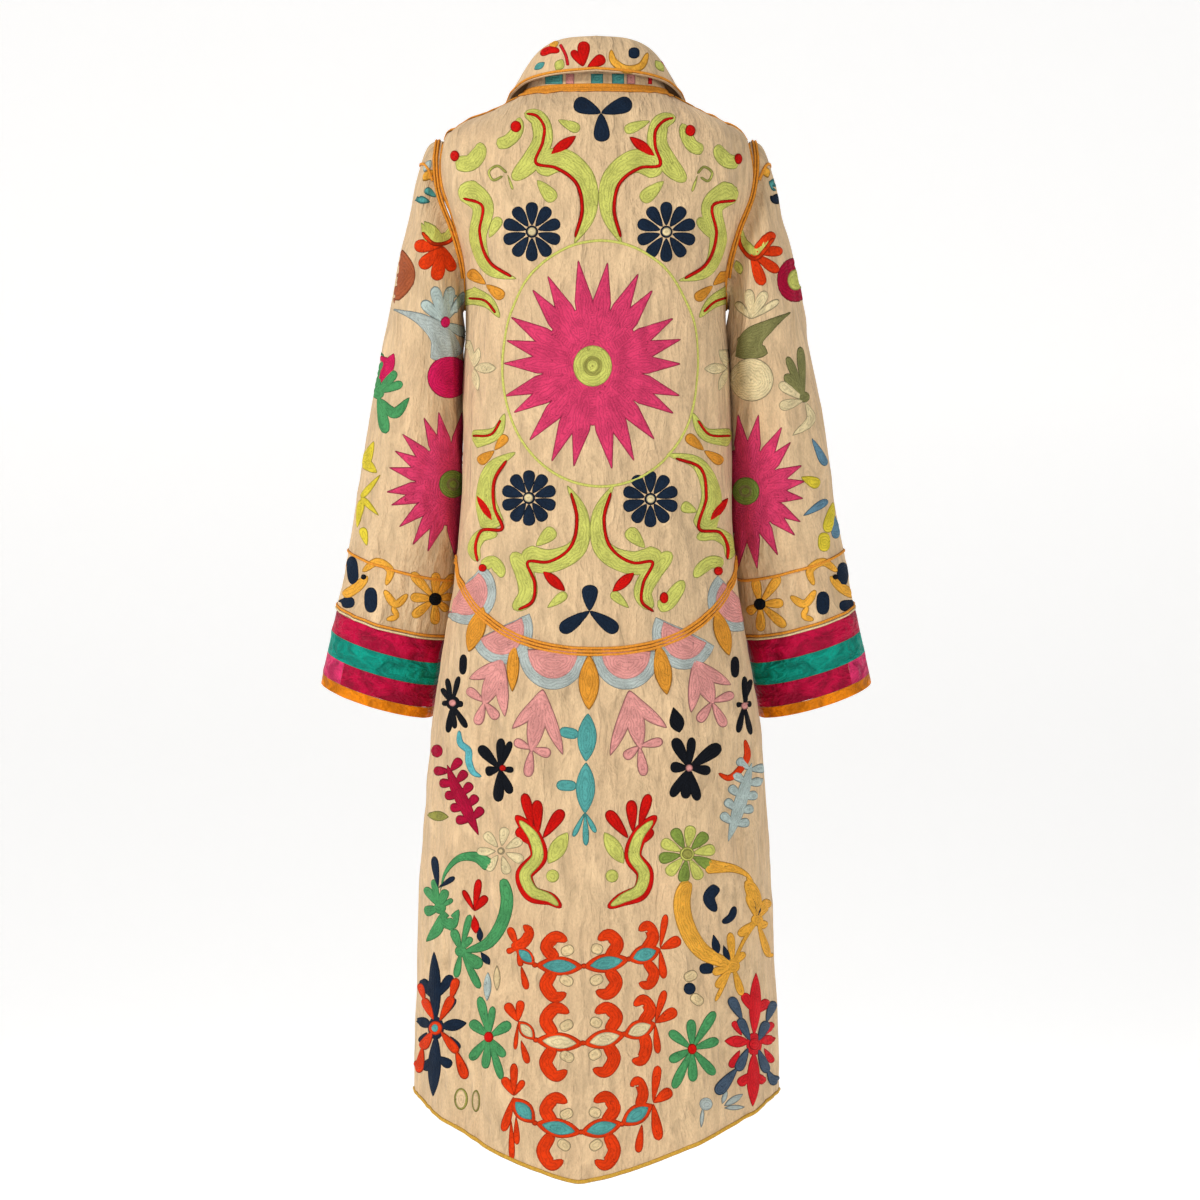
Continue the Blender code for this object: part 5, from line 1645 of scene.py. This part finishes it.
# Crosses of lobed palmettes with arms between them
sew(
    lower,
    leaves="""
navy leaf 0 436,1022 434,951,14
navy petal 0 435,1000 421,979,12 452,975,12
navy leaf 0 436,1034 433,1097,15
navy petal 0 435,1056 423,1070,12 452,1066,12
navy leaf 0 440,1027 467,1023,14
navy petal 0 447,1014 455,998,8
450,1036 460,1049,8
navy leaf 0 431,1027 417,1018,12
navy petal 0 427,1032 420,1043,9
orange_red petal 0.8 440,1021 453,996,11
451,1000 457,978,10
434,1020 424,998,10
425,1001 420,983,8
433,1031 422,1049,12
423,1046 419,1073,10
441,1031 458,1053,11
456,1050 466,1079,12
crimson leaf 0 754,1036 756,972,14
crimson petal 0 755,1014 743,993,12 769,1000,12
crimson leaf 0 754,1051 752.6,1107,15
crimson petal 0 753,1072 738,1085,12 765,1083,11
crimson leaf 0 750,1042 724,1041,14
crimson petal 0 742,1036 733,1021,9
740,1050 730,1068,10
crimson leaf 0 759,1042 776,1038,12
crimson petal 0 764,1036 773,1022,9
764,1048 773,1063,9
slate petal 0.8 742,1020 730,997,12
750,1041 739,1018,11
766,1022 774,1001,10
758,1041 767,1021,11
748,1048 737,1071,12
737,1068 716,1094,14
758,1049 767,1073,11
767,1070 775,1085,10
green petal 0 489,1037 479.5,996,11 493,1006,9 511,1023,13 505,1057,11
489,1037 502,1080,10 485,1069,11 470,1060,12 470,1021,13
692,1049 691,1019,12 715,1011,12 719,1040,12 715,1075,12 693,1082,12 673,1089,12 669,1061,12 669,1031,12
""",
    spots="""
navy 0 436,1028 9 13
orange_red 1 436,1028 7.5 8
turquoise 1.6 436,1028 4 5
crimson 0 754,1044 9 13
crimson 1 754,1044 6 7
red 1 489,1037 5 6
692,1049 5 6
""",
)

# Garlands: lozenges in a row, with two curling leaves above and below each joint
GARLANDS = """
turquoise 516,947,535,965 535,965,584,967 583,967,630,959 628,960,661,949
cream 518,1021,535,1040 535,1040,584,1044 583,1044,626,1034 623,1036,656,1023
turquoise 512,1098,535,1123 535,1123,582,1133 580,1133,623,1123 621,1125,653,1104
"""
for colour, *lozenges in rows_of(GARLANDS):
    for lozenge in lozenges:
        ends = np.array(numbers(lozenge)).reshape(2, 2)
        wide = 22 if ends[1, 0] - ends[0, 0] > 20 else 16
        lower.stroke("orange_red", wide, "leaf", ends)
        lower.stroke(colour, wide * 0.7, "leaf", ends + (ends[::-1] - ends) * 0.14, 0.8)
sew(
    lower,
    strokes="""
orange_red 15.7 comma 0 556.9,960.1 547,946 556,937 568,941
607.5,959.3 617,943 609,935 597,940
orange_red 14.7 comma 0 643.5,952.3 653,936 647,926 638,931
orange_red 15.7 comma 0 554.2,969.5 546,986 556,997 567,993
607.4,968.7 616,983 607,994 595,991
orange_red 13.2 comma 0 645.4,960.7 654,975 648,985 638,983
511.7,948.6 526,940 529,931 523,925
orange_red 15.7 comma 0 555.4,1036.4 546,1019 556,1008 570,1013
607.8,1032.5 616,1016 607,1008 594,1013
orange_red 14.7 comma 0 640.5,1025.3 650,1009 643,1000 633,1006
orange_red 15.7 comma 0 554.1,1046.5 546,1064 557,1076 568,1070
605.8,1042.5 614,1059 604,1072 592,1069
orange_red 14.7 comma 0 643.2,1032.1 646,1049 640,1061 631,1060
orange_red 15.7 comma 0 554.4,1124.4 546,1109 556,1098 568,1103
604.5,1123.3 614,1107 606,1097 593,1102
orange_red 13.2 comma 0 638.7,1107.8 643,1092 637,1081 630,1087
orange_red 15.7 comma 0 552.2,1133.5 543,1152 553,1165 564,1160
607.3,1133.3 614,1152 604,1165 594,1160
orange_red 4 even 0 518,951 527,958 535,965
519,1023 526,1032 535,1040
514,1099 524,1112 535,1123
""",
    leaves="""
orange_red petal 0 660,949 666,914,9 681,939,14 664,979,10
518,948 509,927,10 521,967,8 506,952,8
521,966 527,990,9
655,1023 665,990,10 677,1010,14 658,1054,9
518,1022 506,1003,12 521,1000,11 515,1050,6
521,1040 528,1064,9
653,1103 658,1065,11 672,1090,14 659,1141,13
642,1124 638,1153,10
514,1096 514,1063,10 503,1077,11 524,1080,9 503,1132,11
511,1119 512,1161,8
516,1116 517,1145,8
pale bean 0.2 561,953 574,948,12
603,951 591,947,12
560,977 573,984,12
603,977 590,983,12
560,1029 573,1022,12
602,1025 590,1020,12
560,1053 574,1060,12
601,1051 589,1058,12
560,1117 573,1111,12
601,1115 589,1110,12
558,1141 570,1149,12
602,1141 590,1149,12
pale leaf 0.2 497,965 497,991,8
ice leaf 0.2 488,972 487,1001,9
mist leaf 0.2 724,1106 743,1094,8
722,1104 727,1090,6
724,1108 745,1107,6
703,1107 701,1128,5
pale bean 0.2 684,979 697,973,12
691,995 703,1004,12
""",
    spots="""
orange_red 0.4 535,965 3.4 3
584,966 3.4 3
629,959 3.4 3
536,1040 3.4 3
583,1043 3.4 3
624,1034 3.4 3
535,1123 3.4 3
581,1132 3.4 3
622,1124 3.4 3
olive 0 461,1099 8 12.5
sand 0.5 461,1099 6.4 10.8
olive 0 476,1101 5 12.5
sand 0.5 476,1101 3.8 11
mist 0 706,1104 7.5 7.5
""",
)
lower.finish()

left = Applique("applique_left_sleeve", left_sleeve)
burst(left, (452, 484), 73, 84, 21, "leaf_green", 14.8)
LEFT_LEAVES = """
orange_red petal 0 443,246 414,246,16 420,268,16 436,281,16 453,272,14
lime leaf 0 424,221 443,243,13
ice petal 0.2 444,323 422,301,13 434,286,13 451,286,13 466,292,10 469,335,13
rose leaf 0 381,383 394,353,14
green petal 0 378,393 396,371,12 403,383,11 386,434,13 381,352,10
yellow petal 0 374,441 364,466,12
377,473 364,462,13
381,474 361,498,8
379,516 361,497,8
357,528 362,499,9
367,546 362,527,10
navy bean 0 351.6,556 353.6,585,13
341,603 355,602,13
370.8,587 370.8,613,15
gold petal 0 435,599 411,572,12 436,572,12 455,574,12 410,597,12 412,617,12 435,625,12 448,611,10 454,596,10
"""
LEFT_STROKES = """
orange_red 4.6 even 1 422,232 434,244 451,240 455,223
lime 14 leaf 0 421,222 432,240 448,236 453,219
brown 19 leaf 0 402,249 407,275 394,304
mist 40 horn 0 393,309 422,320 441,336 448,361
green 13 leaf 0 380,398 394,413 410,397
gold 10 bean 0 362,572 378,562 390,570 386,586
384,590 396,604 408,594
gold 12 comma 0 343,596 356,588 368,576
gold 8 bean 0 392,606 396,616 386,620
"""
LEFT_SPOTS = """
rose 1 445,322 5 6.5
rose 0.6 448.6,377 23.5 23.5
green 0 378,393 7 7
black 1 435,599 7 7
364,577 3 3
"""
sew(left, LEFT_LEAVES, LEFT_STROKES, LEFT_SPOTS)
left.finish()

right = Applique("applique_right_sleeve", right_sleeve)
burst(right, (746.4, 491), 66, 88, 20, "leaf_green", 14.8)
RIGHT_LEAVES = """
orange_red petal 0 751,252 775,233,13 783,251,13 779,272,13 763,286,14
lime leaf 0 741,275 736,260,10
cream petal 0.2 751,319 749,289,12 766,291,12 779,300,9 736,302,10
moss petal 0 804,397 785,374,12 787,356,10 800,346,10
cream petal 0 804,400 779,383,13 779,407,13
steel petal 0 812,438 826,466,10
yellow petal 0 801,477 820,485,14
steel petal 0 803,516 828,500,10
yellow petal 0 833,502 827,533,13
yellow bean 0 824,532 824,552,14
steel petal 0 834,514 836,539,10
gold petal 0 760,604 755,578,12 780,576,12 784,603,12 786,627,12 761,632,12 747,613,12
navy bean 0 843,562 842,587,13
823,591 823,615,15
839,606 854,605,13
"""
RIGHT_STROKES = """
orange_red 4.6 even 1 739,225 741,246 753,259 774,238
lime 12 leaf 0 740,222 744,243 756,252 772,232
moss 40 horn 0 791,312 770,325 752,340 752,360
cream 11 leaf 0 805,401 811,418 792,436
gold 10 bean 0 838,572 822,562 810,570 814,586
816,590 804,604 790,596
gold 12 comma 0 856,596 842,588 830,576
gold 8 bean 0 808,606 804,616 814,620
"""
RIGHT_SPOTS = """
magenta 0 795,280 20 25
lime 1 795,280 9 12
cream 0.6 751.8,379.6 24 24
moss 0 804,397 6.5 6.5
black 1 760,604 6.5 6.5
835,577 3 3
"""
sew(right, RIGHT_LEAVES, RIGHT_STROKES, RIGHT_SPOTS)
right.finish()

# Small pieces on the shoulder caps
caps = Applique("applique_left_cap", left_sleeve)
sew(
    caps,
    leaves="""
turquoise petal 0.4 436,197 425,189,9
430,202 418,199,9
gold leaf 0.4 433,170 423,181,10
ice leaf 0.4 431,160 424,172,8
""",
)
caps.finish()
caps = Applique("applique_right_cap", right_sleeve)
sew(
    caps,
    leaves="""
turquoise petal 0.4 769,181 777,190,9
gold leaf 0.4 764,166 768,178,9
navy leaf 0.4 770,196 779,204,8
""",
)
caps.finish()

# Collar: leaves and strokes on the fall, and blocks of colour on the stand
collar = Applique("applique_collar", collar_fall)
sew(
    collar,
    leaves="""
red petal 0 583,67 584,41,15 572,50,10
587,68 605,57,14
lime leaf 0 556,71 563,59,12
navy bean 0 634,47 634,59,13
lime leaf 0 655,60 664,72,9
turquoise leaf 0 534,70 545,62,8
gold leaf 0 549,46 559,42,9
""",
    strokes="""
crimson 4.4 even 0 560,44 566,56 568,66
gold 10 bean 0 611,49 613,60 626,69 641,66 648,52
red 9 bean 0 540,55 550,50 560,51
pink 8 bean 0 661,58 672,70 676,82
""",
)
collar.finish()
strip = Applique("applique_collar_stand", collar_stand)
BLOCK_CORNERS = np.array([(-1, -1), (1, -1), (1, 1), (-1, 1)])
BLOCKS_AT, BLOCK_HALF_HEIGHT = 79, 5.5  # where the blocks of colour are on the photo, in its pixels
for colour, x, width in (
    ("turquoise", 554, 20),
    ("blush", 570, 10),
    ("turquoise", 597, 14),
    ("turquoise", 618, 14),
    ("blush", 631, 10),
    ("crimson", 650, 5),
):
    half = (width / PHOTO_STEP / 2, BLOCK_HALF_HEIGHT)
    strip.lay((x, BLOCKS_AT) + BLOCK_CORNERS * half, colour)
strip.finish()


# The fronts and the front of the sleeves, which the photo hides, get like pieces. Places are millimetres
# across from the middle of the back (or from the sleeve's outer line) and down from the shoulder.
FRONT_LEAVES = """
navy petal 0 322,66 306,44,17 338,44,17 322,96,17
330,525 330,492,17 300,545,16 360,545,16
lime petal 0 265,330 240,318,13 236,334,13 244,350,12
382,336 404,322,12 408,338,12 402,354,12
amber petal 0 300,462 282,452,12 318,474,12
360,462 378,452,12 342,474,12
red leaf 0.5 288,160 304,146,12
362,160 346,146,12
blush leaf 0.4 300,590 276,634,16 312,650,16
blush petal 0.4 296,652 278,666,12 312,668,12 294,686,12
blush leaf 0.4 420,600 396,640,16 434,656,16
blush petal 0.4 416,660 398,674,12 432,676,12 414,694,12
black petal 0 302,736 282,716,13 302,706,12 324,718,13 282,750,12 322,752,12 300,768,13
450,730 430,712,13 452,700,12 472,714,13 432,748,12 470,748,12 450,766,13
turquoise leaf 0 362,590 360,644,22
360,646 358,700,22
turquoise petal 0 358,698 344,722,8 358,734,8 370,722,8
green petal 0 320,812 300,790,12 320,778,12 342,792,12 298,826,12 342,830,12 320,850,12
crimson leaf 0 490,960 492,890,16
490,970 488,1040,16
crimson petal 0 490,944 468,920,13 512,920,13 466,986,13 512,988,13
slate petal 0.8 486,958 464,936,12 512,938,12 464,984,12 512,986,12
navy leaf 0 318,960 320,890,16
318,970 316,1040,16
navy petal 0 318,944 296,920,13 340,920,13 296,986,13 342,988,13
orange_red petal 0.8 318,962 298,940,12 338,940,12 298,984,12 338,984,12
"""
FRONT_STROKES = """
lime 26 scroll 0 316,226 296,206 292,178 312,160 336,158
red 4 even 1 312,216 298,200 298,180 314,166 332,164
lime 18 comma 0 250,232 262,214 280,208 292,214
392,222 380,206 364,202 352,212
lime 26 scroll 0 316,424 296,446 250,450 232,480
red 4 even 1 308,428 290,443 254,450 238,474
lime 22 scroll 0 352,424 372,446 392,450 404,480
red 4 even 1 358,428 376,445 392,452 400,474
green 17 comma 0 304,840 292,866 302,890 322,902
gold 19 comma 0 398,800 384,826 392,852 420,870
gold 17 horn 0 452,836 440,812 420,800 402,800
orange_red 16 comma 0 370,944 356,930 368,916 386,922
430,944 444,930 432,916 414,922
370,962 358,978 370,990 386,984
430,962 442,978 430,990 414,984
372,1024 358,1010 370,996 388,1002
430,1024 444,1010 432,996 414,1002
orange_red 22 leaf 0 354,953 400,953
400,953 448,953
turquoise 15 leaf 0.8 360,953 394,953
406,953 442,953
orange_red 22 leaf 0 354,1036 400,1036
400,1036 448,1036
cream 15 leaf 0.8 360,1036 394,1036
406,1036 442,1036
"""
FRONT_SPOTS = """
red 1 302,736 4 4
blush 1 450,730 4 4
red 1 320,812 5 5
turquoise 1 318,965 6 6
crimson 1 490,965 6 6
lime 0 338,872 8 8
"""
for side, label in SIDES:
    front = Applique("applique_front_" + label, body, side)
    burst(front, (322, 318), 66, 74, 20, "lime", 15)
    for x, y, reach in ((262, 262, 24), (384, 262, 24), (262, 398, 24), (384, 398, 24)):
        daisy(front, (x, y), reach, 10, 11, ["navy"], "cream", 4)
    daisy(front, (380, 776), 30, 9, 14, ["lime", "leaf_green"], "olive", 6)
    sew(front, FRONT_LEAVES, FRONT_STROKES, FRONT_SPOTS)
    front.finish()

SLEEVE_FRONT_LEAVES = """
orange_red petal 0 -96,92 -122,84,14 -118,106,14 -98,118,14 -76,108,13
ice petal 0 -92,160 -118,142,13 -104,130,13 -84,130,13 -68,142,12
green petal 0 -150,196 -164,176,12 -146,172,12 -132,184,12 -160,218,12 -140,220,12
yellow petal 0 -34,236 -52,228,12 -34,216,12 -18,230,11 -46,254,11
steel petal 0 -30,262 -16,284,11 -42,286,11
gold petal 0 -60,416 -60,394,12 -40,402,12 -40,428,12 -60,440,12 -80,428,12 -80,402,12
-150,416 -150,394,12 -130,402,12 -130,428,12 -150,440,12 -170,428,12 -170,402,12
"""
SLEEVE_FRONT_STROKES = """
lime 14 leaf 0 -124,62 -110,78 -90,78 -76,60
orange_red 4 even 1 -122,68 -108,84 -90,84 -76,68
mist 30 horn 0 -140,150 -116,164 -100,186 -96,208
gold 11 comma 0 -120,400 -108,396 -98,406 -102,420
-20,400 -12,396 -4,408 -10,422
"""
SLEEVE_FRONT_SPOTS = """
rose 0.6 -96,216 21 21
rose 1 -92,160 5 6
black 1 -60,416 6 6
-150,416 6 6
navy 0 -106,430 7 5
"""
for label, sleeve in (("left", left_sleeve), ("right", right_sleeve)):
    front = Applique("applique_front_sleeve_" + label, sleeve, 1)
    burst(front, (-98, 308), 60, 66, 20, "leaf_green", 13)
    sew(front, SLEEVE_FRONT_LEAVES, SLEEVE_FRONT_STROKES, SLEEVE_FRONT_SPOTS)
    front.finish()


# Studio
def lamp(name, place, size, power, colour, aim):
    light = bpy.data.lights.new(name, "AREA")
    light.shape, light.size, light.energy, light.color = "DISK", size, power, colour
    made = bpy.data.objects.new(name, light)
    made.location = place
    made.rotation_mode = "QUATERNION"
    made.rotation_quaternion = (Vector(aim) - Vector(place)).to_track_quat("-Z", "Y")
    bpy.context.scene.collection.objects.link(made)


def backdrop():
    """A pale floor that rises into a wall behind the coat."""
    wide, near, far, low, high = 14.0, -7.0, 5.0, -1.45, 7.0
    bend = 1.6
    profile = [(near, low), (far - bend, low)]
    for k in range(1, 16):
        turn = k / 16 * math.pi / 2
        profile.append((far - bend + bend * math.sin(turn), low + bend - bend * math.cos(turn)))
    profile.append((far, high))
    points, faces = [], []
    for y, z in profile:
        points += [(-wide / 2, y, z), (wide / 2, y, z)]
    for i in range(len(profile) - 1):
        faces.append((2 * i, 2 * i + 1, 2 * i + 3, 2 * i + 2))
    mesh = bpy.data.meshes.new("backdrop")
    mesh.from_pydata(points, [], faces)
    mesh.shade_smooth()
    pale = bpy.data.materials.new("pale_floor")
    pale.use_nodes = True
    shader = pale.node_tree.nodes["Principled BSDF"]
    shader.inputs["Base Color"].default_value = (0.93, 0.93, 0.93, 1)
    shader.inputs["Roughness"].default_value = 0.95
    shader.inputs["Emission Color"].default_value = (1, 1, 1, 1)
    shader.inputs["Emission Strength"].default_value = 0.3
    mesh.materials.append(pale)
    made = bpy.data.objects.new("backdrop", mesh)
    bpy.context.scene.collection.objects.link(made)


scene = bpy.context.scene
scene.view_settings.view_transform = "Standard"
world = bpy.data.worlds.new("studio")
world.use_nodes = True
world.node_tree.nodes["Background"].inputs["Color"].default_value = (1.0, 0.99, 0.975, 1)
world.node_tree.nodes["Background"].inputs["Strength"].default_value = 0.42
scene.world = world
backdrop()
MIDDLE = (0, 0, -0.53)
lamp("key", (-2.6, -2.2, 1.6), 0.8, 84, (1, 0.98, 0.95), MIDDLE)
lamp("fill", (2.4, -2.6, 0.2), 1.6, 26, (1, 0.985, 0.96), MIDDLE)
lamp("back_fill", (0, 2.6, 1.6), 2.0, 20, (1, 1, 1), MIDDLE)

camera = bpy.data.cameras.new("camera")
camera.sensor_width = 36
camera.lens = 36 * -CAMERA_AT[1] / PHOTO_WIDTH
camera_object = bpy.data.objects.new("camera", camera)
camera_object.location = CAMERA_AT
camera_object.rotation_euler = (math.radians(90), 0, 0)
scene.collection.objects.link(camera_object)
scene.camera = camera_object

bpy.context.view_layer.update()
